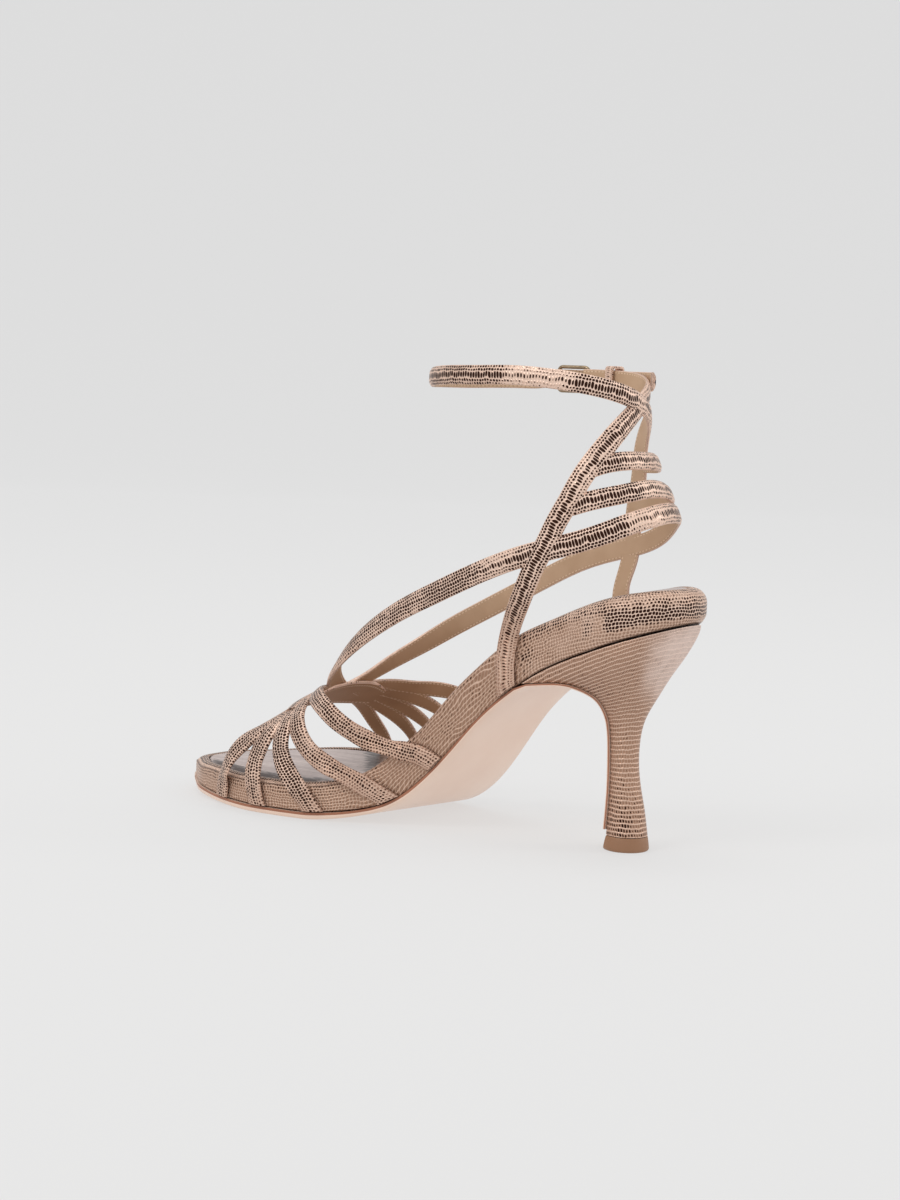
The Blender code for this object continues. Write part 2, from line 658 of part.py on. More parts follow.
def lift_at(table, turn):
    """The lift that a table of (turn, lift) gives at this turn."""
    rows = sorted(table)
    return float(np.interp(turn, [t for t, _ in rows], [v for _, v in rows]))


def ankle_strap():
    """The long strap: up the outer side, across the back, round the ankle and through the buckle."""
    web, foot = OUTER_RISER
    points = [on_wall(OUTER, along, rise) for along, rise in foot][::-1]
    for at, turn in web:
        table = TAIL_LIFT if turn < 20 else CROSSING_LIFT
        points.append(on_last(at, turn, lift_at(table, turn)))
    path = np.array([p for p, _ in points])
    normals = np.array([n for _, n in points])
    widths = [STRAP_WIDTH] * 10 + [ANKLE_STRAP_WIDTH] * (len(path) - 10)
    thick = [FOOT_THICK] * len(foot) + [STRAP_THICK] * len(web)
    loops = ribbon_loops(path, normals, np.array(widths), thick, 88)
    loops = shear_end(loops[::-1], sole_plane(OUTER, foot[-1][0]))
    vertices, faces = loft(loops)
    return mesh_object("ankle_strap", vertices, faces, "lizard_leather", parts=False)


def build_upper():
    pieces = []
    hub = [on_last(at, turn, 0.0002) for at, turn, _ in HUB]
    widths = [STRAP_WIDTH * share for _, _, share in HUB]
    pieces.append(strap("hub", hub, 12, thick=STRAP_THICK * 1.35, widths=widths))
    for name, (side, web, foot) in FAN_STRAPS.items():
        pieces.append(wall_strap(name, web, foot, side, 20, FAN_WIDTH[side]))
    pieces.append(strap("sling", [on_last(at, turn) for at, turn in SLING], 56))
    web, foot = INNER_RISER
    pieces.append(wall_strap("inner_riser", web[::-1], foot, INNER, 40, STRAP_WIDTH, 0.0))
    pieces.append(ankle_strap())
    for name, web in RUNGS.items():
        points = [on_last(at, turn) for at, turn in web]
        pieces.append(strap("rung_" + name, points, 14, width=STRAP_WIDTH * 0.90))
    return join("upper", pieces)


def at_buckle(turn, across, rise):
    """A point by the buckle: across up the ankle, rise outward from the last."""
    base = last(BUCKLE_AT, turn) + last_normal(BUCKLE_AT, float(turn)) * rise
    return base + np.array([0.0, 0.0, across])


def wire(name, path, radius, material, closed, sides=8, parts=True):
    """A round wire through these points. outward is up at each point."""
    centres = np.array([p for p, _ in path])
    ups = np.array([n for _, n in path])
    if closed:
        ahead = np.roll(centres, -1, 0) - np.roll(centres, 1, 0)
    else:
        ahead = np.gradient(centres, axis=0)
    ahead /= np.linalg.norm(ahead, axis=1, keepdims=True)
    ups = ups - ahead * np.sum(ups * ahead, axis=1, keepdims=True)
    ups /= np.linalg.norm(ups, axis=1, keepdims=True)
    across = np.cross(ahead, ups)
    loops = []
    for i in range(len(centres)):
        angles = np.linspace(0, 2 * np.pi, sides, endpoint=False) + np.pi / sides
        loops.append(np.array([centres[i] + radius * (math.cos(a) * across[i] + math.sin(a) * ups[i]) for a in angles]))
    points, faces = loft(loops, closed)
    return mesh_object(name, points, faces, material, parts)


def rounded_rectangle(half_long, half_across, corner, steps=3):
    """Points round a rectangle with round corners, anticlockwise from the right side."""
    points = []
    for quarter, (sx, sy) in enumerate(((1, 1), (-1, 1), (-1, -1), (1, -1))):
        for i in range(steps + 1):
            a = (quarter + i / steps) * np.pi / 2
            x = sx * (half_long - corner) + corner * math.cos(a)
            y = sy * (half_across - corner) + corner * math.sin(a)
            points.append((x, y))
    return points


def metres_to_turn(turn):
    """Degrees of turn to each metre along the ankle at this turn."""
    step = np.linalg.norm(last(BUCKLE_AT, turn + 0.5) - last(BUCKLE_AT, turn - 0.5))
    return 1 / step


def build_buckle():
    strap_top = GAP + STRAP_THICK
    radius = BUCKLE_WIRE / 2
    frame_rise = strap_top + GAP + radius
    half_across = ANKLE_STRAP_WIDTH / 2 + GAP + radius
    half_turn = (FRONT_BAR_TURN - REAR_BAR_TURN) / 2
    middle = (FRONT_BAR_TURN + REAR_BAR_TURN) / 2
    half_long = half_turn / metres_to_turn(middle)
    path = []
    for x, y in rounded_rectangle(half_long, half_across, 0.0017):
        turn = middle + half_turn * x / half_long
        path.append((at_buckle(turn, y, frame_rise), last_normal(BUCKLE_AT, turn)))
    wire("buckle_frame", path, radius, "buckle_metal", closed=True)

    # Prong: it starts in front of the rear bar and rests on the front bar
    prong = PRONG_WIRE / 2
    start = REAR_BAR_TURN + (radius + GAP + 0.0002) * metres_to_turn(middle)
    end = FRONT_BAR_TURN + 0.0008 * metres_to_turn(middle)
    low = frame_rise + 0.0001
    high = frame_rise + radius + prong + GAP * 1.4
    path = []
    for share in np.linspace(0, 1, 6):
        turn = start + (end - start) * share
        path.append((at_buckle(turn, 0.0, low + (high - low) * share), last_normal(BUCKLE_AT, turn)))
    wire("buckle_prong", path, prong, "buckle_metal", closed=False)
    hole = wire("prong_hole", path[:-1], prong + GAP * 1.1, "buckle_metal", closed=False, parts=False)

    # Keeper: a leather loop round the strap and the tail that lies on it
    half = KEEPER_WIDTH / 2 * metres_to_turn(KEEPER_TURN)
    inside = -0.1 * GAP
    outside = GAP + 2 * STRAP_THICK + 0.0004 + 1.4 * GAP
    centre = (inside + outside) / 2
    thick = KEEPER_LEATHER / 2
    loops = []
    outline_points = rounded_rectangle(
        (outside - inside) / 2 + thick, ANKLE_STRAP_WIDTH / 2 + GAP * 3 + thick, 0.0012, steps=2
    )
    inner_points = rounded_rectangle(
        (outside - inside) / 2, ANKLE_STRAP_WIDTH / 2 + GAP * 3, 0.0006, steps=2
    )
    outer_points = rounded_rectangle(
        (outside - inside) / 2 + 2 * thick, ANKLE_STRAP_WIDTH / 2 + GAP * 3 + 2 * thick, 0.0015, steps=2
    )
    for i in range(len(outline_points)):
        loop = []
        for (rise, across), turn in (
            (inner_points[i], KEEPER_TURN - half),
            (outer_points[i], KEEPER_TURN - half),
            (outer_points[i], KEEPER_TURN + half),
            (inner_points[i], KEEPER_TURN + half),
        ):
            loop.append(at_buckle(turn, across, centre + rise))
        loops.append(np.array(loop))
    points, faces = loft(loops, closed=True)
    mesh_object("keeper", points, faces, "lizard_leather")
    return hole


def cut(target, cutter):
    """Cut the cutter's shape from the target for good."""
    modifier = target.modifiers.new("cut", "BOOLEAN")
    modifier.operation = "DIFFERENCE"
    modifier.solver = "EXACT"
    modifier.object = cutter
    bpy.context.view_layer.update()
    graph = bpy.context.evaluated_depsgraph_get()
    result = bpy.data.meshes.new_from_object(target.evaluated_get(graph))
    target.modifiers.clear()
    target.data = result
    bpy.data.objects.remove(cutter, do_unlink=True)


def centre_on_box():
    """Move every vertex so that the shoe's box is centred over the origin and stands on the floor."""
    corners = []
    for obj in SANDAL.objects:
        points = np.empty(len(obj.data.vertices) * 3)
        obj.data.vertices.foreach_get("co", points)
        points = points.reshape(-1, 3)
        corners += [points.min(0), points.max(0)]
    low = np.min(corners, 0)
    high = np.max(corners, 0)
    shift = Vector((-(low[0] + high[0]) / 2, -(low[1] + high[1]) / 2, -low[2]))
    for obj in SANDAL.objects:
        obj.data.transform(Matrix.Translation(shift))


def build():
    build_sole()
    build_heel()
    build_outsole()
    upper = build_upper()
    cut(upper, build_buckle())
    centre_on_box()
    for obj in SANDAL.objects:
        obj.data.shade_smooth()
        obj.data.set_sharp_from_angle(angle=math.radians(38))


for item in list(bpy.data.objects):
    bpy.data.objects.remove(item, do_unlink=True)
SANDAL = bpy.data.collections.new("strappy_heeled_sandal")
CUTTERS = bpy.data.collections.new("helpers")
CUTTERS.hide_render = True
for collection in (SANDAL, CUTTERS):
    bpy.context.scene.collection.children.link(collection)
build()
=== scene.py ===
"""The looks of a strappy high-heeled sandal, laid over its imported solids.

Sizes are in metres, and the shape tables, in shares of them, are those of the part's source.
Each piece is a grid of points with a flat map, so that embossed scales, lining and stitches
follow the leather.
"""

import math

import bpy
import numpy as np
from mathutils import Matrix, Vector


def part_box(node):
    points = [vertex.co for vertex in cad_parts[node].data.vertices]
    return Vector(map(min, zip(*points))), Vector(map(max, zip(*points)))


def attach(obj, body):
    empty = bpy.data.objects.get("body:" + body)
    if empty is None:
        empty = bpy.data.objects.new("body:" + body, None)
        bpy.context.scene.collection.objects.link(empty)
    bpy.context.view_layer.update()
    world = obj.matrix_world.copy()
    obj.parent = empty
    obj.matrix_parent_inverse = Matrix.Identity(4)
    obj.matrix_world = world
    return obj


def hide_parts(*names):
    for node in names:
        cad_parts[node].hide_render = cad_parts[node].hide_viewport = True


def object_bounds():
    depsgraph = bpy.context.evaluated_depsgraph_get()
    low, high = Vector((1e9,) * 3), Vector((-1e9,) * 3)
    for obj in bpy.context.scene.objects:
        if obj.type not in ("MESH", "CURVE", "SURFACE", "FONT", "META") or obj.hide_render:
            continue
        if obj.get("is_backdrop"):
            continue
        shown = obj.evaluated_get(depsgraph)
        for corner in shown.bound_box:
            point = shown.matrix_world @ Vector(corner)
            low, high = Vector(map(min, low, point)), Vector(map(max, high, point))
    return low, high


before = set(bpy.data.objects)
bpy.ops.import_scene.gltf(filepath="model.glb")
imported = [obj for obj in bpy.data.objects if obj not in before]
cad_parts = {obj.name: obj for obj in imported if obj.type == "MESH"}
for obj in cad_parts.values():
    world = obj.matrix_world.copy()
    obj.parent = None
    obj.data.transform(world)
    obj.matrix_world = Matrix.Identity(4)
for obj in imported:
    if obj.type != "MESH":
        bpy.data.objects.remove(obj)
cad_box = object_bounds()

# Footbed
# A board and its cushion, wrapped in one piece of embossed leather. The leather swells over the
# padded heel, rolls over the rim and is glued down inside it, where the sock covers its edge.
LENGTH = 0.2175
BALL_WIDTH = 0.0794
HEEL_HEIGHT = 0.0846
OUTSOLE_THICK = 0.0026
WELT = 0.0005
RIM_WIDTH = 0.0050
RIM_ROUND = 0.0032
SOCK_THICK = 0.0012
PAD_BULGE = 0.0020
PAD_ROUND = 0.0058
GAP = 0.0003
WALL_TUCK = 0.0003
TRAY_LEAST = 0.0008
TRAY_CLEAR = 0.0002
TRAY_DIP = 0.0005
RIM_BEAD = 0.00025
WALL_ROWS = 17
RIM_ROWS = 15
CREASE = 50
INNER, OUTER = -1, 1

# Plan and side view of the sole. along is a share of LENGTH, inner and outer are half widths
# as shares of BALL_WIDTH, under and rim are heights as shares of HEEL_HEIGHT. drop is how much
# lower than the inner edge the outer edge is, and raise how much of that the rim takes back.
# Where under is negative the sole lies flat on the floor.
SOLE_COLUMNS = ("along", "inner", "outer", "under", "rim", "drop", "raise")
SOLE = (
    (0.000, 0.184, 0.245, 0.046, 0.150, 0.000, 0.000),
    (0.030, 0.209, 0.272, 0.034, 0.152, 0.000, 0.000),
    (0.060, 0.286, 0.325, 0.024, 0.153, 0.000, 0.002),
    (0.102, 0.362, 0.360, 0.014, 0.157, 0.000, 0.013),
    (0.183, 0.456, 0.481, 0.004, 0.155, 0.000, 0.035),
    (0.285, 0.484, 0.516, -0.003, 0.155, 0.000, 0.040),
    (0.388, 0.436, 0.499, 0.009, 0.175, 0.009, 0.038),
    (0.439, 0.375, 0.481, 0.034, 0.223, 0.031, 0.040),
    (0.490, 0.315, 0.453, 0.087, 0.333, 0.045, 0.040),
    (0.541, 0.287, 0.423, 0.191, 0.463, 0.054, 0.045),
    (0.592, 0.273, 0.390, 0.326, 0.617, 0.040, 0.036),
    (0.643, 0.264, 0.363, 0.473, 0.747, 0.014, 0.016),
    (0.694, 0.259, 0.343, 0.592, 0.857, 0.003, 0.010),
    (0.775, 0.262, 0.322, 0.730, 0.966, 0.000, 0.015),
    (0.857, 0.292, 0.315, 0.822, 1.055, 0.000, 0.022),
    (0.918, 0.297, 0.300, 0.883, 1.105, 0.000, 0.020),
    (0.959, 0.285, 0.285, 0.921, 1.126, 0.000, 0.010),
    (1.000, 0.258, 0.258, 0.959, 1.140, 0.000, 0.000),
)
TOE_ROUND = 0.05
TOE_POWER = 2.6
HEEL_ROUND = 0.122
HEEL_POWER = 2.2
TOE_START = 0.06
COUNT = 220

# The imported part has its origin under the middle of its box, and these tables start at the toe
outsole_low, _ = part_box("outsole")
toplift_low, toplift_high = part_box("toplift")
toe_gap = TOE_ROUND * (1 - math.cos(TOE_START)) * LENGTH
SHIFT = np.array([outsole_low.x - toe_gap, (toplift_low.y + toplift_high.y) / 2, 0.0])


def smooth(table, columns, name, at):
    """The named column at these values of the first one, as a natural cubic through the rows."""
    rows = np.array(table, float)
    x = rows[:, 0]
    y = rows[:, columns.index(name)]
    n = len(x)
    h = np.diff(x)
    system = np.eye(n)
    right = np.zeros(n)
    for i in range(1, n - 1):
        system[i, i - 1 : i + 2] = h[i - 1], 2 * (h[i - 1] + h[i]), h[i]
        right[i] = 3 * ((y[i + 1] - y[i]) / h[i] - (y[i] - y[i - 1]) / h[i - 1])
    c = np.linalg.solve(system, right)
    at = np.clip(np.asarray(at, float), x[0], x[-1])
    i = np.clip(np.searchsorted(x, at) - 1, 0, n - 2)
    d = at - x[i]
    b = (y[i + 1] - y[i]) / h[i] - h[i] * (2 * c[i] + c[i + 1]) / 3
    return y[i] + b * d + c[i] * d**2 + (c[i + 1] - c[i]) / (3 * h[i]) * d**3


def smoothstep(low, high, value):
    """0 below low, 1 above high, and three squares less two cubes of the share between."""
    share = np.clip((np.asarray(value, float) - low) / (high - low), 0, 1)
    return share * share * (3 - 2 * share)


def bell(value, middle, spread):
    """1 at the middle, and e to the minus square of the distance, in spreads, on both sides."""
    return np.exp(-(((value - middle) / spread) ** 2))


def sole(name, along):
    """The named column of the sole's table at these shares of its length."""
    return smooth(SOLE, SOLE_COLUMNS, name, along)


def outline(along, side):
    """Half width of the sole: its table, times a superellipse arc at the toe and at the heel."""
    along = np.asarray(along, float)
    toe = np.clip(1 - along / TOE_ROUND, 0, 1)
    heel = np.clip((along - 1 + HEEL_ROUND) / HEEL_ROUND, 0, 1)
    ends = (1 - toe**TOE_POWER) ** (1 / TOE_POWER) * (1 - heel**HEEL_POWER) ** (1 / HEEL_POWER)
    return BALL_WIDTH * sole("inner" if side == INNER else "outer", along) * ends


def ring(inset=0.0):
    """The outline as a closed loop in plan, bunched by a cosine at its ends, moved in by inset."""
    along = 0.5 - 0.5 * np.cos(np.linspace(0, np.pi, COUNT + 1))
    inner = np.stack([along * LENGTH, -outline(along, INNER)], -1)
    outer = np.stack([along * LENGTH, outline(along, OUTER)], -1)
    loop = np.concatenate([inner, outer[-2:0:-1]])
    ahead = np.roll(loop, -1, 0) - np.roll(loop, 1, 0)
    normal = np.stack([-ahead[:, 1], ahead[:, 0]], -1)
    normal /= np.linalg.norm(normal, axis=1, keepdims=True)
    return loop + normal * (np.zeros(len(loop)) + inset)[:, None]


def height(name, points):
    """Height of the underside or the rim at plan points: its table, less a slope outwards."""
    along = np.clip(points[..., 0] / LENGTH, 0, 1)
    across = np.clip(points[..., 1] / (0.5 * BALL_WIDTH), -1, 1)
    lower = sole("drop", along)
    if name == "rim":
        lower = lower - sole("raise", along)
    return HEEL_HEIGHT * np.maximum(sole(name, along) - lower * (0.5 + 0.5 * across), 0)


def lengths(points):
    """Running length along the first axis of an array of points."""
    steps = np.linalg.norm(np.diff(points, axis=0), axis=-1)
    return np.concatenate([np.zeros((1, *steps.shape[1:])), np.cumsum(steps, 0)])


class Socket:
    """One output of a shader node, so that shader maths reads as arithmetic."""

    def __init__(self, finish, socket):
        self.finish = finish
        self.socket = socket

    def maths(self, operation, *others):
        """The Math node of this operation on the value and the others."""
        values = dict(enumerate((self, *others)))
        return self.finish.node("ShaderNodeMath", 0, {"operation": operation}, values)

    def __add__(self, other):
        return self.maths("ADD", other)

    def __sub__(self, other):
        return self.maths("SUBTRACT", other)

    def __mul__(self, other):
        return self.maths("MULTIPLY", other)

    __radd__ = __add__
    __rmul__ = __mul__

    def __rsub__(self, other):
        return (self * -1.0) + other

    def step(self, low, high):
        """0 below low, 1 above high, smooth between."""
        values = dict(enumerate((self, low, high, 0.0, 1.0)))
        settings = {"interpolation_type": "SMOOTHSTEP"}
        return self.finish.node("ShaderNodeMapRange", 0, settings, values)


class Finish:
    """One material, whose nodes are added by type with their settings and inputs."""

    def __init__(self, name):
        self.material = bpy.data.materials.new(name)
        self.material.use_nodes = True
        self.nodes = self.material.node_tree.nodes
        self.links = self.material.node_tree.links
        self.shader = self.nodes["Principled BSDF"]

    def put(self, target, value):
        """Link a socket, or set a colour or a number."""
        if isinstance(value, Socket):
            self.links.new(value.socket, target)
        elif isinstance(value, tuple):
            target.default_value = (*value, 1.0)
        else:
            target.default_value = value

    def node(self, kind, output, settings, values):
        """A new node, set up, with its inputs linked or set, as its named output."""
        made = self.nodes.new(kind)
        for key, value in settings.items():
            setattr(made, key, value)
        for key, value in values.items():
            self.put(made.inputs[key], value)
        return Socket(self, made.outputs[output])

    def mix(self, share, first, second):
        """The first colour where share is 0 and the second where it is 1."""
        values = {0: share, 6: first, 7: second}
        return self.node("ShaderNodeMix", 2, {"data_type": "RGBA"}, values)

    def part_of(self, vector, axis):
        """The x, y or z of a vector."""
        return self.node("ShaderNodeSeparateXYZ", axis, {}, {0: vector})

    def flat(self):
        """The flat map's two axes, times 1000: in scales on lizard leather, else millimetres."""
        mapped = self.node("ShaderNodeUVMap", 0, {"uv_map": "flat"}, {})
        return self.part_of(mapped, 0) * 1000.0, self.part_of(mapped, 1) * 1000.0

    def vector(self, x, y):
        """The vector of this x and y, with z 0."""
        return self.node("ShaderNodeCombineXYZ", 0, {}, {0: x, 1: y})

    def place(self):
        """The place on the object, in metres."""
        return self.node("ShaderNodeTexCoord", "Object", {}, {})

    def painted(self, name):
        """A value laid on the mesh's points."""
        return self.node("ShaderNodeAttribute", "Fac", {"attribute_name": name}, {})

    def noise(self, vector, scale, detail):
        """Smooth noise about 0.5, with this many finer layers over the first."""
        values = {"Vector": vector, "Scale": scale, "Detail": detail, "Roughness": 0.55}
        return self.node("ShaderNodeTexNoise", 0, {}, values)

    def chance(self, x, y):
        """A chance number from 0 to 1 for each whole x and y."""
        values = {"Vector": self.vector(x + 0.5, y + 0.5)}
        return self.node("ShaderNodeTexWhiteNoise", "Value", {"noise_dimensions": "2D"}, values)

    def close(
        self, colour, roughness, metallic=0.0, height=None, strength=1.0, coat=0.0, specular=0.5
    ):
        """Link the shader's colour, gloss and bump, and give the material."""
        self.shader.inputs["Specular IOR Level"].default_value = specular
        self.put(self.shader.inputs["Base Color"], colour)
        self.put(self.shader.inputs["Roughness"], roughness)
        self.put(self.shader.inputs["Metallic"], metallic)
        self.put(self.shader.inputs["Coat Weight"], coat)
        if height is not None:
            values = {"Strength": strength, "Distance": BUMP_DISTANCE, "Height": height}
            self.put(self.shader.inputs["Normal"], self.node("ShaderNodeBump", 0, {}, values))
        return self.material


BUMP_DISTANCE = 0.0004
# The colour of the dark dots, a painted dark reflection over the scales' own pattern
REFLECTION_DOT_DARK = (0.036, 0.012, 0.006)
SEAM_DARK = (0.045, 0.016, 0.009)
PATCH_SCALE = 110.0
GRAIN_SCALE = 2600.0
GRAIN_SHARE = 0.10
BEND_SCALE = 0.30
CHANCE_SHARE = 0.42
DRIFT_SHARE = 0.60
DIM_SCALE = 0.84
LEATHER_METAL = 0.55
LEATHER_BUMP = 0.55


def lizard(name, pale, low, net, net_low, power=2.4, slip=0.3, row_line=0.0, ripple=0.0, bends=0.6):
    """Metallic leather pressed into rows of scales with a pale net between them.

    A scale's depth is 1 less the superellipse distance from its middle, by this power, in rows
    one apart that are moved along by half a scale and a chance times slip. bends sways the rows
    and ripple swells them in waves. The painted dark reflection sets how much of each scale a
    glossy dark dot fills: the dots are the leather's pattern, spread wider as a painted dark
    reflection. The painted shade turns the leather from pale to low, and where the painted wave
    is 1 the net is drawn along the rows, as strong as row_line.
    """
    leather = Finish(name)
    u, v = leather.flat()
    place = leather.place()
    dark_reflection = leather.painted("dark_reflection")
    wave = leather.painted("wave")
    drift = leather.noise(place, PATCH_SCALE, 1.0) - 0.5
    bend = leather.noise(leather.vector(u * BEND_SCALE, v * BEND_SCALE), 1.0, 1.0) - 0.5
    bend = bend * bends
    rise = v + bend
    if ripple:
        swell = leather.noise(leather.vector(u * 0.085, v * 0.10), 1.0, 1.0) - 0.5
        rise = rise + swell * wave * ripple
    row = rise.maths("FLOOR")
    along = u + bend + row * 0.5 + leather.chance(row, 7.0) * slip
    column = along.maths("FLOOR")
    aside = ((along - column) * 2.0 - 1.0).maths("ABSOLUTE")
    over = ((rise - row) * 2.0 - 1.0).maths("ABSOLUTE")
    reach = aside.maths("POWER", power) + over.maths("POWER", power)
    depth = 1.0 - reach.maths("POWER", 1.0 / power)
    chance = leather.chance(column, row)
    dark = dark_reflection + (chance - 0.5) * CHANCE_SHARE + drift * DRIFT_SHARE
    edge = (1.04 - dark * 0.92).maths("MAXIMUM", 0.14)
    dot = (depth - edge).step(-0.05, 0.06)
    shade = (leather.painted("shade") + drift * 0.5).step(0.05, 0.95)
    lines = 1.0 - depth.step(0.08, 0.30)
    if row_line:
        ladder = over.step(0.70, 0.90) * wave * row_line
        lines = (lines * (0.85 - wave * 0.40)).maths("MAXIMUM", ladder)
    glint = (chance * 0.6 + drift).step(0.0, 0.9)
    glow = leather.mix(glint, pale, tuple(part * DIM_SCALE for part in pale))
    colour = leather.mix(lines, leather.mix(shade, glow, low), leather.mix(shade, net, net_low))
    # Dark dots where the painted dark reflection is strong
    colour = leather.mix(dot, colour, REFLECTION_DOT_DARK)
    colour = leather.mix(leather.painted("seam"), colour, SEAM_DARK)
    rough = 0.42 - depth.step(0.05, 0.3) * 0.14 - dot * 0.06
    height = depth.step(0.0, 0.5) + leather.noise(place, GRAIN_SCALE, 2.0) * GRAIN_SHARE
    return leather.close(colour, rough, LEATHER_METAL, height, LEATHER_BUMP, specular=0.12)


# What a piece is painted where nothing else is said
PLAIN_PAINT = {"dark_reflection": 0.5, "shade": 0.5, "seam": 0.0, "wave": 0.0}


def surface(name, grid, flat, materials, node, columns=0, paint=None, loop=False, mirror=-1):
    """A piece from an (n, m, 3) grid of points, closed round its columns.

    Its last row joins its first where loop is true. Otherwise a ladder of faces closes each
    end, from column j to the one that faces it, mirror less j. flat is the piece laid out, with
    one more column, and one more row on a loop. columns gives each column's material, and
    paint the values that the material reads at each point.
    """
    n, m = grid.shape[:2]
    points = (grid + SHIFT).reshape(-1, 3)
    i, j = np.meshgrid(np.arange(n if loop else n - 1), np.arange(m), indexing="ij")
    beyond = (i + 1) % n
    beside = (j + 1) % m
    quads = [i * m + j, i * m + beside, beyond * m + beside, beyond * m + j]
    quads = np.stack(quads, -1).reshape(-1, 4)
    corners = np.stack([flat[:-1, :-1], flat[:-1, 1:], flat[1:, 1:], flat[1:, :-1]], 2)
    caps = []
    if not loop:
        rung = np.arange((m + mirror) // 2)
        ladder = np.stack([rung, rung + 1, (mirror - rung - 1) % m, (mirror - rung) % m], -1)
        first = [list(dict.fromkeys(row)) for row in ladder.tolist()]
        final = [(np.array(row) + (n - 1) * m).tolist() for row in first]
        caps = [row[::-1] for row in first] + final
    ends = np.concatenate(caps).astype(int) if caps else np.zeros(0, int)
    mesh = bpy.data.meshes.new(name)
    mesh.from_pydata(points.tolist(), [], quads.tolist() + caps)
    laid = np.concatenate([corners.reshape(-1, 2), flat[ends // m, ends % m]])
    mesh.uv_layers.new(name="flat").data.foreach_set("uv", laid.astype(np.float32).ravel())
    for key, value in {**PLAIN_PAINT, **(paint or {})}.items():
        made = mesh.attributes.new(key, "FLOAT", "POINT")
        made.data.foreach_set("value", (np.zeros((n, m)) + value).astype(np.float32).ravel())
    for material in materials:
        mesh.materials.append(material)
    slots = np.zeros(m, np.int32) + columns
    slots = np.concatenate([np.tile(slots, len(quads) // m), np.full(len(caps), slots[0])])
    mesh.polygons.foreach_set("material_index", slots.astype(np.int32))
    # Six times the volume inside the faces is negative where they point inwards
    a, b, c, d = (points[quads[:, corner]] for corner in range(4))
    if np.sum(np.cross(a, b) * c) + np.sum(np.cross(a, c) * d) < 0:
        mesh.flip_normals()
    mesh.shade_smooth()
    mesh.set_sharp_from_angle(angle=math.radians(CREASE))
    mesh.update()
    piece = bpy.data.objects.new(name, mesh)
    bpy.context.scene.collection.objects.link(piece)
    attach(piece, "root")
    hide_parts(node)
    return piece


# Shares of the length round the outline, and which part of the sole each stands on
ring_along = ring()[:, 0] / LENGTH
padded = smoothstep(0.78, 0.94, ring_along)
pad_bulge = PAD_BULGE * padded
rim_rounding = RIM_ROUND + (PAD_ROUND - RIM_ROUND) * padded
tray_inset = WELT - pad_bulge + np.maximum(RIM_WIDTH, rim_rounding + TRAY_LEAST) + TRAY_CLEAR
near_side = (np.arange(2 * COUNT) <= COUNT).astype(float)
heel_part = smoothstep(0.70, 0.76, ring_along)
toe_part = 1 - smoothstep(0.40, 0.47, ring_along)
waist_part = (1 - toe_part) * (1 - heel_part)
pad_back = smoothstep(0.86, 0.90, ring_along + 0.02 * np.sin(ring_along * 90))
by_riser = bell(ring_along, 0.738, 0.016) * near_side


def wall_ring(share):
    """One ring of the wall at this share of its height, swollen by a parabola at the pad."""
    swell = pad_bulge * (1 - (1 - min(share / 0.5, 1)) ** 2)
    plan = ring(WELT + WALL_TUCK * (1 - min(share / 0.05, 1)) - swell)
    low = height("under", plan) + OUTSOLE_THICK + 1.5 * GAP
    high = height("rim", plan) - rim_rounding
    # Painted dark reflection: the dots are dense by the riser, in a band round the back of the pad, and
    # below the rim
    reflection_dots = 0.10 + 0.60 * by_riser * bell(share, 0.55, 0.3)
    band = 1.25 * pad_back * math.exp(-(((share - 0.72) / 0.36) ** 4))
    crest = 0.42 * heel_part * smoothstep(0.80, 1.0, share) + 0.55 * toe_part * bell(share, 0.86, 0.07)
    reflection_dots = reflection_dots + np.maximum(band, crest)
    # Painted highlight: the leather is paler up the back of the pad and on the heel
    shade = 0.98 - 0.55 * pad_back * smoothstep(0.3, 0.6, share) - 0.25 * heel_part
    seam = 0.9 * (share < 0.02) * (0.5 + 0.5 * heel_part)
    return np.column_stack([plan, low + share * (high - low)]), reflection_dots, shade, seam


def rim_ring(turn):
    """One ring of the rim, a quarter circle from the wall, with a pressed bead at the toe."""
    bead = RIM_BEAD * bell(turn, 24, 7) * toe_part
    angle = math.radians(turn)
    plan = ring(WELT - pad_bulge + rim_rounding * (1 - math.cos(angle)) - bead)
    z = height("rim", plan) - rim_rounding * (1 - math.sin(angle)) + bead
    # Painted highlight: a glint along the rim's rounding, with fewer dots and a paler shade; painted
    # dark reflection: dots crowd on the rim's inner slope at the toe
    glint = bell(turn, 46, 9)
    reflection_dots = toe_part * (0.50 + 1.0 * bell(turn, 74, 16) - 0.5 * glint)
    reflection_dots = reflection_dots + heel_part * (0.72 - 0.50 * bell(turn, 45, 12) * pad_back) + 0.35 * waist_part
    shade = 0.85 - 0.75 * glint * toe_part - 0.35 * heel_part
    seam = 0.95 * bell(turn, 32, 4) * toe_part
    return np.column_stack([plan, z]), reflection_dots, shade, seam


def tray_ring(share):
    """One ring of the flat inner edge, which dips by a cube towards the sock."""
    edge = tray_inset - TRAY_CLEAR
    plan = ring(edge - (edge - WELT + pad_bulge - rim_rounding) * (1 - share))
    z = height("rim", plan) - TRAY_DIP * share**3
    # Painted dark reflection: dots crowd on the flat inner edge, most at the toe
    reflection_dots = 0.35 + 0.95 * toe_part
    return np.column_stack([plan, z]), reflection_dots, 0.8 + 0 * reflection_dots, 0.7 * (share > 0.95) + 0 * reflection_dots


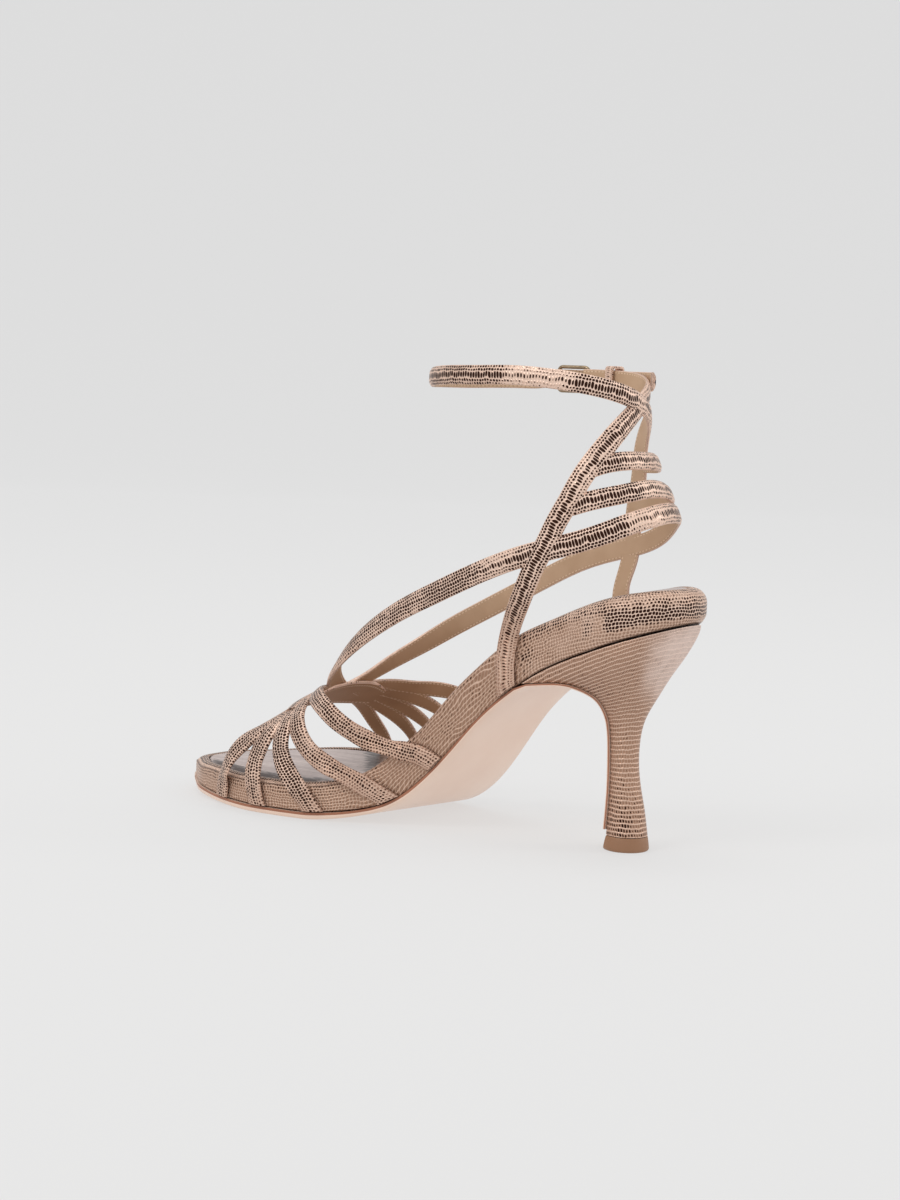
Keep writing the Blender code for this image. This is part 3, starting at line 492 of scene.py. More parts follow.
# The last ring is the leather's edge, glued down under the sock
tuck = ring(tray_inset)
tuck = np.column_stack([tuck, height("rim", tuck) - SOCK_THICK])
rings = [wall_ring(share) for share in np.linspace(0, 1, WALL_ROWS)]
rings += [rim_ring(turn) for turn in np.linspace(6, 90, RIM_ROWS)]
rings += [tray_ring(share) for share in (0.25, 0.5, 0.75, 0.9, 1.0)]
rings += [(tuck, 0.9 + 0 * padded, 0.9 + 0 * padded, 0.9 + 0 * padded)]
footbed_grid, footbed_dark_reflection, footbed_shade, footbed_seam = (np.array(part) for part in zip(*rings))

# Scales are small at the toe, long on the waist and round on the heel pad
pitch_along = 0.00120 * toe_part + 0.00200 * waist_part + 0.00132 * heel_part
pitch_up = 0.00108 * toe_part + 0.00170 * waist_part + 0.00122 * heel_part
wall_line = np.concatenate([footbed_grid[12], footbed_grid[12][:1]])
wall_steps = np.linalg.norm(np.diff(wall_line, axis=0), axis=1) / pitch_along
wall_run = np.concatenate([[0], np.cumsum(wall_steps)])
rise_run = (lengths(footbed_grid) - lengths(footbed_grid)[WALL_ROWS - 1]) / pitch_up
rise_run = np.concatenate([rise_run, rise_run[:, :1]], 1)
footbed_flat = np.stack(np.broadcast_arrays(wall_run[None], rise_run), -1) / 1000
WALL = lizard(
    "wall_lizard",
    pale=(0.78, 0.555, 0.440),
    low=(0.370, 0.217, 0.146),
    net=(0.84, 0.62, 0.50),
    net_low=(0.76, 0.54, 0.42),
    power=2.6,
    slip=0.8,
    row_line=0.9,
    ripple=5.0,
    bends=1.2,
)
footbed_paint = {"dark_reflection": footbed_dark_reflection, "shade": footbed_shade, "wave": waist_part, "seam": footbed_seam}
surface(
    "footbed_wrap", footbed_grid, footbed_flat, (WALL,), "footbed",
    paint=footbed_paint, mirror=0,
)

# Sock
# The thin sock that a foot stands on, of soft metallic leather with fine cross ripples. It is
# let into the top of the footbed and glued to the board.
SOCK_ROWS = 25
SOCK_ROLL = 0.0012
SOCK_LOW = 0.0007
SOCK_ROUND = 0.0006
# Where a band of painted dark reflection lies across the sock: its turn, its place and its spread
SHEEN_TURN = math.radians(33.4)
SHEEN_AT = 0.0805
SHEEN_SPREAD = 0.0042


def sock_leather():
    """Brushed metallic leather: two stretched noises for ripples and a painted sheen, and patches of
    painted dark reflection.
    """
    leather = Finish("sock_sheen")
    u, v = leather.flat()
    ripples = leather.noise(leather.vector(u * 0.9, v * 0.22), 1.0, 3.0)
    sheen = leather.noise(leather.vector(u * 0.03, v * 0.20), 1.0, 3.0)
    streak = leather.noise(leather.vector(u * 0.20, v * 1.3), 1.0, 2.0) - 0.5
    base = leather.mix(sheen.step(0.3, 0.75), (0.46, 0.360, 0.335), (0.68, 0.565, 0.525))
    base = leather.mix(ripples.step(0.45, 0.75) * 0.5, base, (0.36, 0.26, 0.225))
    # Painted dark reflection: the painted band and streaks, broken up by the streak noise
    reflection_mask = (leather.painted("dark_reflection") + streak * 1.5).step(0.30, 0.52)
    base = leather.mix(reflection_mask, base, (0.050, 0.018, 0.010))
    return leather.close(base, 0.30, LEATHER_METAL, ripples, 0.22, specular=0.15)


def sock_surface():
    """Rows across the sole on the rim's height, rolled down by a square root at the edge."""
    plan = ring(tray_inset + GAP * 0.6)
    inner = plan[: COUNT + 1]
    outer = plan[np.r_[0, np.arange(2 * COUNT - 1, COUNT - 1, -1)]]
    share = np.linspace(0, 1, SOCK_ROWS)
    rows = inner[:, None] + (outer - inner)[:, None] * share[None, :, None]
    rim = height("rim", rows)
    width = np.linalg.norm(outer - inner, axis=-1)[:, None]
    edge = np.minimum(share, 1 - share)[None] * width
    ends = np.minimum(np.arange(COUNT + 1), COUNT - np.arange(COUNT + 1))[:, None]
    roll = np.clip(edge / SOCK_ROLL, 0, 1) * np.clip(ends / 4, 0, 1)
    upper = np.dstack([rows, rim - SOCK_LOW + SOCK_ROUND * roll**0.5])
    lower = np.dstack([rows, rim - SOCK_THICK + GAP * 0.6])[:, ::-1]
    grid = np.concatenate([upper, lower], 1)
    flat = np.concatenate([rows, rows[:, ::-1], rows[:, :1]], 1)
    # A painted dark reflection: a band where the sock starts to rise, and streaks along its near edge
    aside = rows[..., 0] * math.cos(SHEEN_TURN) + rows[..., 1] * math.sin(SHEEN_TURN)
    band = 0.8 * bell(aside, SHEEN_AT * math.cos(SHEEN_TURN), SHEEN_SPREAD)
    band = band * smoothstep(0.0, 0.25, share)
    along = rows[..., 0] / LENGTH
    near = smoothstep(0.03, 0.10, along) * (1 - smoothstep(0.34, 0.40, along))
    dark_reflection = band + 0.85 * near * (1 - smoothstep(0.05, 0.17, share))
    dark_reflection = 0.8 * np.concatenate([dark_reflection, dark_reflection * 0], 1)
    return grid[1:-1], flat[1:-1], dark_reflection[1:-1]


sock_grid, sock_flat, sock_dark_reflection = sock_surface()
surface(
    "sock", sock_grid, sock_flat, (sock_leather(),), "insole",
    paint={"dark_reflection": sock_dark_reflection},
)

# Heel
# A flared block wrapped in the same leather as the footbed, with its scales in level rows. The
# leather is glued on first, and a screw and nails through the board hold the heel from above.
TOPLIFT_THICK = 0.0052
HEEL_COLUMNS = ("at", "front", "front_up", "back", "back_up", "half", "seat")
# front and back are shares of LENGTH, front_up and back_up of the height from the toplift to
# the seat, half a share of BALL_WIDTH. seat is how far the footbed's outline is taken.
HEEL = (
    (0.00, 0.8673, 0.000, 0.9260, 0.000, 0.098, 0.00),
    (0.10, 0.8673, 0.113, 0.9194, 0.113, 0.083, 0.00),
    (0.20, 0.8668, 0.214, 0.9112, 0.214, 0.072, 0.00),
    (0.30, 0.8653, 0.316, 0.9056, 0.322, 0.066, 0.00),
    (0.40, 0.8637, 0.420, 0.9060, 0.434, 0.067, 0.00),
    (0.50, 0.8612, 0.511, 0.9140, 0.536, 0.081, 0.00),
    (0.60, 0.8561, 0.584, 0.9315, 0.638, 0.113, 0.05),
    (0.70, 0.8459, 0.641, 0.9479, 0.736, 0.158, 0.18),
    (0.80, 0.8255, 0.678, 0.9663, 0.830, 0.206, 0.42),
    (0.90, 0.7948, 0.690, 0.9826, 0.915, 0.252, 0.72),
    (1.00, 0.7295, 0.668, 0.9990, 0.984, 0.302, 1.00),
)
HEEL_FLAT = 0.74
HEEL_WIDEST = 0.42
HEEL_POINTS = 40
HEEL_LEVELS = 90
HEEL_SCALE_LONG = 0.00105
HEEL_SCALE_TALL = 0.00165


def heel_rows(at):
    """Front and back points in side view, half widths and seats of the heel's sections."""
    row = {name: smooth(HEEL, HEEL_COLUMNS, name, at) for name in HEEL_COLUMNS}
    floor = TOPLIFT_THICK + GAP
    rise = HEEL_HEIGHT - floor
    front = np.stack([row["front"] * LENGTH, floor + row["front_up"] * rise], -1)
    back = np.stack([row["back"] * LENGTH, floor + row["back_up"] * rise], -1)
    return front, back, row["half"] * BALL_WIDTH, np.clip(row["seat"], 0, 1)


def heel_loops(front, back, half, seat, count=HEEL_POINTS):
    """Loops with a nearly flat front and an elliptic back, one for each section.

    A loop's half width is mixed with the footbed's outline by its seat, and its height with the
    bulge of the footbed's underside over the straight line from front to back.
    """
    q = 0.5 - 0.5 * np.cos(np.linspace(0, np.pi, count))
    rear = np.clip((q - HEEL_WIDEST) / (1 - HEEL_WIDEST), 0, 1)
    fore = np.clip((HEEL_WIDEST - q) / HEEL_WIDEST, 0, 1)
    block = np.sqrt(1 - rear**2) - (1 - HEEL_FLAT) * fore**2
    line = front[:, None] + q[:, None] * (back - front)[:, None]
    along = np.clip(line[..., 0] / LENGTH, 0, 1)
    level = height("under", np.stack([line[..., 0], 0 * along], -1))
    chord = level[:, :1] + q * (level[:, -1:] - level[:, :1])
    z = line[..., 1] + seat[:, None] * (level - chord)
    widths = []
    for side in (INNER, OUTER):
        wall = np.maximum(outline(along, side) - WELT, 0)
        wall[:, -1] = 0
        widths.append(side * (block * (half * (1 - seat))[:, None] + wall * seat[:, None]))
    inner = np.stack([line[..., 0], widths[0], z], -1)
    outer = np.stack([line[..., 0], widths[1], z], -1)
    return np.concatenate([inner, outer[:, -2::-1]], 1)


heel_at = np.linspace(0, 1, HEEL_LEVELS)[:, None]
heel_grid = heel_loops(*heel_rows(heel_at[:, 0]))
q = np.concatenate([np.linspace(0, 1, HEEL_POINTS), np.linspace(1, 0, HEEL_POINTS)[1:]])
# The dots, a painted dark reflection, crowd at the foot and on the upper front and thin out up the back,
# where the leather is also paler as a painted highlight
foot_dark = 0.46 * (1 - smoothstep(0.06, 0.30, heel_at))
front_dark = 0.18 * bell(heel_at, 0.75, 0.2) * bell(q, 0.15, 0.3)
back_highlight = smoothstep(0.62, 0.92, q) * smoothstep(0.45, 0.75, heel_at)
heel_dark_reflection = 0.12 + foot_dark + front_dark - 0.2 * smoothstep(0.6, 0.85, q)
heel_shade = 1.0 - 0.75 * back_highlight
around = lengths(np.concatenate([heel_grid, heel_grid[:, :1]], 1).transpose(1, 0, 2)).T
around = around - around[:, HEEL_POINTS - 1 : HEEL_POINTS]
up_run = lengths(heel_grid[:, HEEL_POINTS // 2])[:, None]
heel_flat = np.broadcast_arrays(around / HEEL_SCALE_LONG, up_run / HEEL_SCALE_TALL)
BLOCK = lizard(
    "heel_lizard",
    pale=(0.78, 0.60, 0.52),
    low=(0.410, 0.240, 0.163),
    net=(0.86, 0.67, 0.58),
    net_low=(0.80, 0.575, 0.455),
    power=3.2,
    row_line=1.0,
)
surface(
    "heel_wrap", heel_grid, np.stack(heel_flat, -1) / 1000, (BLOCK,), "heel",
    paint={"dark_reflection": heel_dark_reflection, "shade": heel_shade, "wave": 1.0},
)

# Toplift
# The tread under the heel, a moulded plastic pad with its edges broken. A steel pin in it is
# driven up into the heel.
def plain_finish(name, first, second, rough, grain_scale=1800.0, coat=0.0):
    """Two colours in slow patches under a fine grain, for leather and moulded parts."""
    made = Finish(name)
    place = made.place()
    patch = made.noise(place, 28.0, 3.0)
    base = made.mix(patch.step(0.3, 0.7), first, second)
    return made.close(base, rough, 0.0, made.noise(place, grain_scale, 4.0), 0.12, coat)


TREAD = plain_finish("moulded_tread", (0.300, 0.150, 0.078), (0.340, 0.178, 0.096), 0.5)
# How far each ring of the pad stands out beyond the heel's foot, and its height
PAD_RINGS = np.array([
    (0.0001, 0.0), (0.0005, 0.0003), (0.0007, 0.0008), (0.0006, 0.0018), (0.0004, 0.0032),
    (0.0001, TOPLIFT_THICK - 0.0004), (-0.0001, TOPLIFT_THICK),
])
grow, level = PAD_RINGS.T
foot_front, foot_back, foot_half, _ = heel_rows(np.zeros(1))
pad_front = np.stack([foot_front[0, 0] - grow, level], -1)
pad_end = np.stack([foot_back[0, 0] + grow, level], -1)
tread_grid = heel_loops(pad_front, pad_end, foot_half + grow, 0 * grow)
tread_flat = np.zeros((len(tread_grid), tread_grid.shape[1] + 1, 2))
surface("tread_pad", tread_grid, tread_flat, (TREAD,), "toplift")

# Outsole
# A leather sole under the forefoot and waist, glued to the board, with a waxed edge. Its end is
# skived thin and turned down the front of the heel as a flap.
SOLE_BEND = 0.716
FLAP_THICK = 0.0011
FLAT_UNTIL = 0.45
EDGE_STRIP = 0.0009
EDGE_ROLL = 0.0011
SOLE_SPAN = 11
SKIVE_FROM = 0.37
SKIVE_LONG = 0.22
FLAP_OVER = 0.0007
TOE_ROWS = 30
PLATE_ROWS = 150
FLAP_ROWS = 80
# Both sides' columns of the waxed strip, in the order that outsole() goes round
WAXED_COLUMNS = (10, 11, 28, 29)


def outsole():
    """Rows across the plate and down the flap: top, rolled side, underside, rolled side.

    A row's underside lies its thickness below its top, square to the sole's line in side view,
    or straight down where the sole lies flat. Its outer side drops with the sole's slope.
    """
    toe = TOE_ROUND * (1 - np.cos(np.linspace(TOE_START, np.pi / 2, TOE_ROWS)))
    plate = np.concatenate([toe, np.linspace(TOE_ROUND + 0.005, SOLE_BEND, PLATE_ROWS)])
    fade = np.clip((plate - SKIVE_FROM) / SKIVE_LONG, 0, 1)
    front, back, half, seat = heel_rows(np.linspace(0.985, 0.02, FLAP_ROWS))
    loops = heel_loops(front, back, half, seat, 9)
    spread = FLAP_OVER + WELT * seat
    top = np.maximum(sole("under", plate), 0) * HEEL_HEIGHT + OUTSOLE_THICK
    face = np.concatenate([np.stack([plate * LENGTH, top], -1), front])
    thick = np.concatenate([OUTSOLE_THICK * (1 - fade) + 1.3 * FLAP_THICK * fade, FLAP_THICK + 0 * half])
    inner = np.concatenate([outline(plate, INNER), spread - loops[:, 0, 1]])
    outer = np.concatenate([outline(plate, OUTER), spread + loops[:, -1, 1]])
    drop = np.concatenate([sole("drop", plate) * HEEL_HEIGHT, 0 * half])
    on_plate = np.arange(len(face)) < len(plate)
    ahead = np.gradient(face, axis=0)
    ahead /= np.linalg.norm(ahead, axis=1, keepdims=True)
    down = np.stack([ahead[:, 1], -ahead[:, 0]], -1)
    level = face[:, 1]
    face = face + down * (GAP * ~on_plate)[:, None]
    lies_flat = on_plate & (face[:, 0] < FLAT_UNTIL * LENGTH)
    down = np.where(lies_flat[:, None], np.array([0.0, -1.0]), down)
    # The waxed edge is the top strip of the side, and the side rolls under below it
    strip = np.minimum(EDGE_STRIP, 0.5 * thick) / thick
    roll = np.minimum(np.minimum(EDGE_ROLL, 0.3 * np.minimum(inner, outer)), 0.6 * thick)
    cut = np.array([0.0, 0.0, 0.10, 0.35, 1.0])
    depth = np.stack([strip, strip + 0.02, 0 * strip + 0.72, 0 * strip + 0.90, 0 * strip + 1], -1)
    span = np.linspace(0, 1, SOLE_SPAN)
    top_y = -inner[:, None] + (inner + outer)[:, None] * span
    low_y = (outer - roll)[:, None] + (2 * roll - inner - outer)[:, None] * span[1:]
    outer_y = outer[:, None] - roll[:, None] * cut
    inner_y = roll[:, None] * cut[-2::-1] - inner[:, None]
    y = np.concatenate([top_y, outer_y, low_y, inner_y], 1)
    share = np.concatenate([0 * top_y, depth, 0 * low_y + 1, depth[:, -2::-1]], 1)
    place = face[:, None] + (down * thick[:, None])[:, None] * share[..., None]
    across = 0.5 + 0.5 * np.clip(y / (0.5 * BALL_WIDTH), -1, 1)
    z = place[..., 1] - drop[:, None] * across
    floor = OUTSOLE_THICK - (level[:, None] - place[..., 1])
    z = np.where(on_plate[:, None], np.maximum(z, floor), z)
    return np.stack([place[..., 0], y, z], -1)


outsole_grid = outsole()
waxed = np.isin(np.arange(outsole_grid.shape[1]), WAXED_COLUMNS).astype(int)
outsole_flat = np.zeros((len(outsole_grid), len(waxed) + 1, 2))
outsole_flat[..., 0] = lengths(outsole_grid[:, 5])[:, None]
SOLE_FACE = plain_finish("nude_sole", (0.850, 0.625, 0.500), (0.890, 0.680, 0.555), 0.36, coat=0.15)
SOLE_EDGE = plain_finish("waxed_edge", (0.330, 0.125, 0.065), (0.390, 0.155, 0.085), 0.42)
surface(
    "sole_plate", outsole_grid, outsole_flat, (SOLE_FACE, SOLE_EDGE), "outsole",
    columns=waxed,
)

# Straps
# Narrow strips of the embossed leather, padded, folded over a tan lining and stitched near each
# edge. Where they cross they are joined, and their ends are lasted under the footbed.
STRAP_WIDTH = 0.0078
INNER_FAN_WIDTH = 0.0073
OUTER_FAN_WIDTH = 0.0064
STRAP_THICK = 0.0020
FOOT_THICK = 0.0014
LEG_RISE = 0.0934
STRAP_STEP = 0.0008
FOOT_LEAN = 0.0008
FOOT_LEAN_UP = 0.9
SHEAR_REACH = 1.3
SLOPE_STEP = 0.004
SHEAR_STEP = 0.012

# The last, as sections through the foot. at runs from the toe to the top of the ankle, along
# is a share of LENGTH, up a share of HEEL_HEIGHT to which leg adds a share of LEG_RISE, tilt
# turns the section from upright to level in degrees. inner and outer are half widths, over
# and below the reach to the top and to the sole or the back, all shares of BALL_WIDTH.
LAST_COLUMNS = ("at", "along", "up", "leg", "tilt", "inner", "outer", "over", "below")
LAST = (
    (0.00, 0.034, 0.213, 0.000, 0, 0.227, 0.202, 0.101, 0.063),
    (0.12, 0.104, 0.213, 0.000, 3, 0.353, 0.340, 0.139, 0.076),
    (0.24, 0.191, 0.225, 0.000, 8, 0.428, 0.441, 0.189, 0.101),
    (0.36, 0.288, 0.260, 0.000, 17, 0.453, 0.479, 0.239, 0.139),
    (0.46, 0.379, 0.390, 0.000, 31, 0.416, 0.466, 0.277, 0.239),
    (0.55, 0.466, 0.615, 0.000, 43, 0.353, 0.428, 0.372, 0.315),
    (0.63, 0.554, 0.875, 0.000, 52, 0.340, 0.390, 0.441, 0.378),
    (0.71, 0.627, 1.000, 0.143, 62, 0.365, 0.390, 0.453, 0.579),
    (0.78, 0.664, 1.000, 0.358, 70, 0.378, 0.403, 0.491, 0.831),
    (0.84, 0.678, 1.000, 0.518, 78, 0.378, 0.403, 0.504, 0.712),
    (0.90, 0.683, 1.000, 0.679, 86, 0.365, 0.378, 0.516, 0.535),
    (0.95, 0.683, 1.000, 0.829, 90, 0.353, 0.365, 0.505, 0.495),
    (1.00, 0.683, 1.000, 1.000, 90, 0.353, 0.365, 0.500, 0.500),
)
LAST_POWER = 2.3
LAST_STEP = 1e-3
LAST_TURN_STEP = 0.3


def last(at, turn):
    """Points of the last: a superellipse round its core, turned by the section's tilt."""
    turn = np.radians(np.asarray(turn, float))
    row = {name: smooth(LAST, LAST_COLUMNS, name, at) for name in LAST_COLUMNS}
    tilt = np.radians(row["tilt"])
    c = np.cos(turn)
    s = np.sin(turn)
    c = np.sign(c) * np.abs(c) ** (2 / LAST_POWER)
    s = np.sign(s) * np.abs(s) ** (2 / LAST_POWER)
    y = BALL_WIDTH * np.where(c > 0, row["outer"], row["inner"]) * c
    reach = BALL_WIDTH * np.where(s > 0, row["over"], row["below"]) * s
    x = LENGTH * row["along"] - reach * np.sin(tilt)
    z = HEEL_HEIGHT * row["up"] + LEG_RISE * row["leg"] + reach * np.cos(tilt)
    return np.stack([x, y, z], -1)


def last_normal(at, turn):
    """Outward direction: the cross product of a short step round the last and one along it."""
    at = np.asarray(at, float)
    turn = np.asarray(turn, float)
    along = last(np.minimum(at + LAST_STEP, 1), turn) - last(np.maximum(at - LAST_STEP, 0), turn)
    around = last(at, turn + LAST_TURN_STEP) - last(at, turn - LAST_TURN_STEP)
    normal = np.cross(around, along)
    return normal / np.linalg.norm(normal, axis=-1, keepdims=True)


def on_last(web, lift=0.0):
    """Places and outward directions of strap points (at, turn), lifted off the last."""
    at, turn = np.array(web, float).T[:2]
    normal = last_normal(at, turn)
    rise = np.zeros(len(at)) + GAP + STRAP_THICK / 2 + lift
    return last(at, turn) + normal * rise[:, None], normal


def on_wall(side, foot):
    """Places and outward directions of strap points (along, rise) on the footbed's wall."""
    along, rise = np.array(foot, float).T
    wider = outline(along + SLOPE_STEP, side) - outline(along - SLOPE_STEP, side)
    slope = side * wider / (2 * SLOPE_STEP * LENGTH)
    normal = np.stack([-slope * side, side + 0 * along, 0 * along], -1)
    normal /= np.linalg.norm(normal, axis=1, keepdims=True)
    plan = np.stack([along * LENGTH, side * outline(along, side)], -1)
    bottom = height("under", plan) + OUTSOLE_THICK + 2.2 * GAP
    z = bottom + (height("rim", plan) - bottom) * rise
    point = np.column_stack([plan, z]) + normal * (2 * GAP + FOOT_THICK / 2 - WELT)
    # A foot that reaches the rim leans out over it
    over = (rise >= 1)[:, None]
    leaning = normal + np.array([0, 0, FOOT_LEAN_UP])
    leaning /= np.linalg.norm(leaning, axis=1, keepdims=True)
    return np.where(over, point + leaning * FOOT_LEAN, point), np.where(over, leaning, normal)


def spline(points, count):
    """Each coordinate as a natural cubic of the chord length, at evenly spaced lengths."""
    steps = np.linalg.norm(np.diff(points[:, :3], axis=0), axis=1)
    at = np.concatenate([[0], np.cumsum(steps)])
    table = np.column_stack([at, points])
    columns = tuple(range(table.shape[1]))
    where = np.linspace(0, at[-1], count)
    return np.stack([smooth(table, columns, name, where) for name in columns[1:]], -1)


def shear_end(loops, side, along):
    """Slide each point of the last sections along the strap, until the end lies on the sole."""
    ends = np.array([along - SHEAR_STEP, along + SHEAR_STEP])
    plan = np.stack([ends * LENGTH, side * outline(ends, side)], -1)
    slope = np.diff(height("under", plan))[0] / np.diff(plan[:, 0])[0]
    plane = np.array([-slope, 0.0, 1.0]) / math.hypot(slope, 1.0)
    centres = loops.mean(1)
    left = np.linalg.norm(centres[-1] - centres, axis=1)
    share = np.clip(1 - left / (SHEAR_REACH * STRAP_WIDTH), 0, 1) ** 1.5
    ahead = np.diff(centres, axis=0, prepend=centres[:1])
    ahead[0] = ahead[1]
    ahead /= np.linalg.norm(ahead, axis=1, keepdims=True)
    offset = (loops - centres[:, None]) @ plane * (share / (ahead @ plane))[:, None]
    return loops - offset[..., None] * ahead[:, None]


# The strap's section. across runs from -1 to 1, and deep from -0.5 at the lining to 0.5 at the
# crown, which is domed with a pressed line near each edge. The lining lies flat underneath.
OUTER_COLUMNS = 25
over_strap = np.sin(np.radians(np.linspace(-90, 90, OUTER_COLUMNS)))
crown = -0.14 + 0.64 * (1 - np.abs(over_strap) ** 3.0) ** 0.62
crown -= 0.10 * bell(np.abs(over_strap), 0.80, 0.06)
under_strap = np.array([0.985, 0.93, 0.84, 0.5, 0.0, -0.5, -0.84, -0.93, -0.985])
underside = np.array([-0.34, -0.46, -0.5, -0.5, -0.5, -0.5, -0.5, -0.46, -0.34])
ACROSS = np.concatenate([over_strap, under_strap])
DEEP = np.concatenate([crown, underside])
COLUMN = np.arange(len(ACROSS))
LINED = ((COLUMN > OUTER_COLUMNS) & (COLUMN <= OUTER_COLUMNS + 6)).astype(int)
SMALL_ROW = 0.00108
SCALE_PITCH = 0.00116
UNDER_ROWS = 40.0

STRAP = lizard(
    "strap_lizard",
    pale=(0.91, 0.655, 0.520),
    low=(0.500, 0.300, 0.218),
    net=(0.91, 0.68, 0.56),
    net_low=(0.66, 0.46, 0.355),
    slip=0.9,
    bends=1.1,
)


def strap_lining():
    """Matte tan leather, painted darker low on the shoe as shade, with dashes in a groove for the
    stitches.
    """
    leather = Finish("tan_lining")
    u, _ = leather.flat()
    place = leather.place()
    rim = leather.painted("rim")
    run = (u * 0.72).maths("FRACT")
    dash = run.step(0.10, 0.18) - run.step(0.70, 0.78)
    row = rim.step(0.70, 0.74) - rim.step(0.80, 0.84)
    patch = leather.noise(place, 70.0, 2.0).step(0.3, 0.7)
    low = leather.mix(patch, (0.370, 0.205, 0.108), (0.430, 0.245, 0.135))
    high = leather.mix(patch, (0.500, 0.325, 0.200), (0.560, 0.375, 0.240))
    # Painted shade: the lining is darker below some 45 to 85 mm up
    base = leather.mix(leather.part_of(place, 2).step(0.045, 0.085), low, high)
    # Painted shade in the stitch groove
    base = leather.mix(row * 0.22, base, (0.24, 0.13, 0.08))
    base = leather.mix(dash * row, base, (0.72, 0.52, 0.36))
    height = leather.noise(place, 1500.0, 4.0) * 0.35 + dash * row * 0.8 - row * 0.4
    return leather.close(base, 0.62, 0.0, height, 0.35)


LINING = strap_lining()


def ribbon(name, points, widths, thicks, paint, foot=None, tall=((0, 0.40), (1, 0.40))):
    """A strap: the section above, carried along a smooth curve through its points.

    points are (places, outward directions), and widths and thicks may change from point to
    point. paint has rows of (share of the length, painted dark reflection, painted shade). foot is
    (side, along) where the end stands on the sole. tall gives the half width of the middle row of
    tall scales.
    """
    places, outward = points
    table = np.column_stack([places, outward, widths + 0 * places[:, 0], thicks + 0 * places[:, 0]])
    rows = spline(table, int(lengths(places)[-1] / STRAP_STEP))
    centre = rows[:, :3]
    half = rows[:, 6:7] / 2
    ahead = np.gradient(centre, axis=0)
    ahead /= np.linalg.norm(ahead, axis=1, keepdims=True)
    up = rows[:, 3:6] - ahead * np.sum(rows[:, 3:6] * ahead, axis=1, keepdims=True)
    up /= np.linalg.norm(up, axis=1, keepdims=True)
    side = np.cross(ahead, up)
    grid = centre[:, None] + side[:, None] * (half * ACROSS)[..., None]
    grid = grid + up[:, None] * (rows[:, 7:8] * DEEP)[..., None]
    if foot is not None:
        grid = shear_end(grid, *foot)
    run = lengths(centre)
    share = run / run[-1]
    # Across the strap each row of scales is one unit: a tall one in the middle, then small ones
    middle = np.interp(share, *np.array(tall).T)[:, None]
    far = np.abs(ACROSS) - middle
    row_count = np.where(far > 0, 0.5 + far * half / SMALL_ROW, 0.5 + far / middle / 2)
    rows_over = np.sign(ACROSS) * row_count + UNDER_ROWS * (COLUMN >= OUTER_COLUMNS) + 0.5
    rows_over = np.concatenate([rows_over, rows_over[:, :1] + UNDER_ROWS], 1)
    along = np.broadcast_to((run / SCALE_PITCH)[:, None], rows_over.shape)
    flat = np.stack([along, rows_over], -1) / 1000
    at, dark_reflection, shade = np.array(paint, float).T
    # Painted dark reflection along the strap, heavier down its middle and lighter at its edges
    dark_reflection = np.interp(share, at, dark_reflection)[:, None]
    dark_reflection = dark_reflection + 0.20 * bell(ACROSS, 0, 0.40) - 0.22 * np.abs(ACROSS) ** 5
    shade = np.interp(share, at, shade)[:, None] + 0 * ACROSS
    values = {"dark_reflection": dark_reflection, "shade": shade, "rim": np.abs(ACROSS)}
    return surface(name, grid, flat, (STRAP, LINING), "upper", LINED, values)


def turned(paint):
    """The paint rows of a strap that is laid from its other end."""
    return tuple((1 - row[0], *row[1:]) for row in paint[::-1])


def joined(first, second):
    """The points of two stretches of a strap, one after the other."""
    return tuple(np.concatenate(pair) for pair in zip(first, second))


def thinned(web, foot):
    """A strap's thickness at each point: full on the last, and skived at the foot."""
    return [STRAP_THICK] * len(web) + [FOOT_THICK] * len(foot)


# Toe straps
# The hub is one wide piece over the toes, cut in the same leather. Five straps fan out from
# it to each side of the footbed, stitched under it.

# Each web point is (at, turn) on the last: turn is 0 on the outer side, 90 over the top, 180 on
# the inner side and 270 at the sole or the back. Each foot point is (along, rise) on the wall
# of the footbed: rise is 0 at the outsole and 1 at the rim. The hub's points have a third
# value, their width in straps, and each fan strap has its side, web, foot and paint.
HUB = (
    (0.394, 50, 1.5), (0.389, 62, 2.2), (0.386, 77, 2.5), (0.385, 92, 2.5), (0.384, 108, 2.1),
    (0.382, 122, 1.5), (0.380, 134, 1.0),
)
FAN_WIDTH = {INNER: INNER_FAN_WIDTH, OUTER: OUTER_FAN_WIDTH}
FAN_TALL = ((0, 0.19), (1, 0.19))
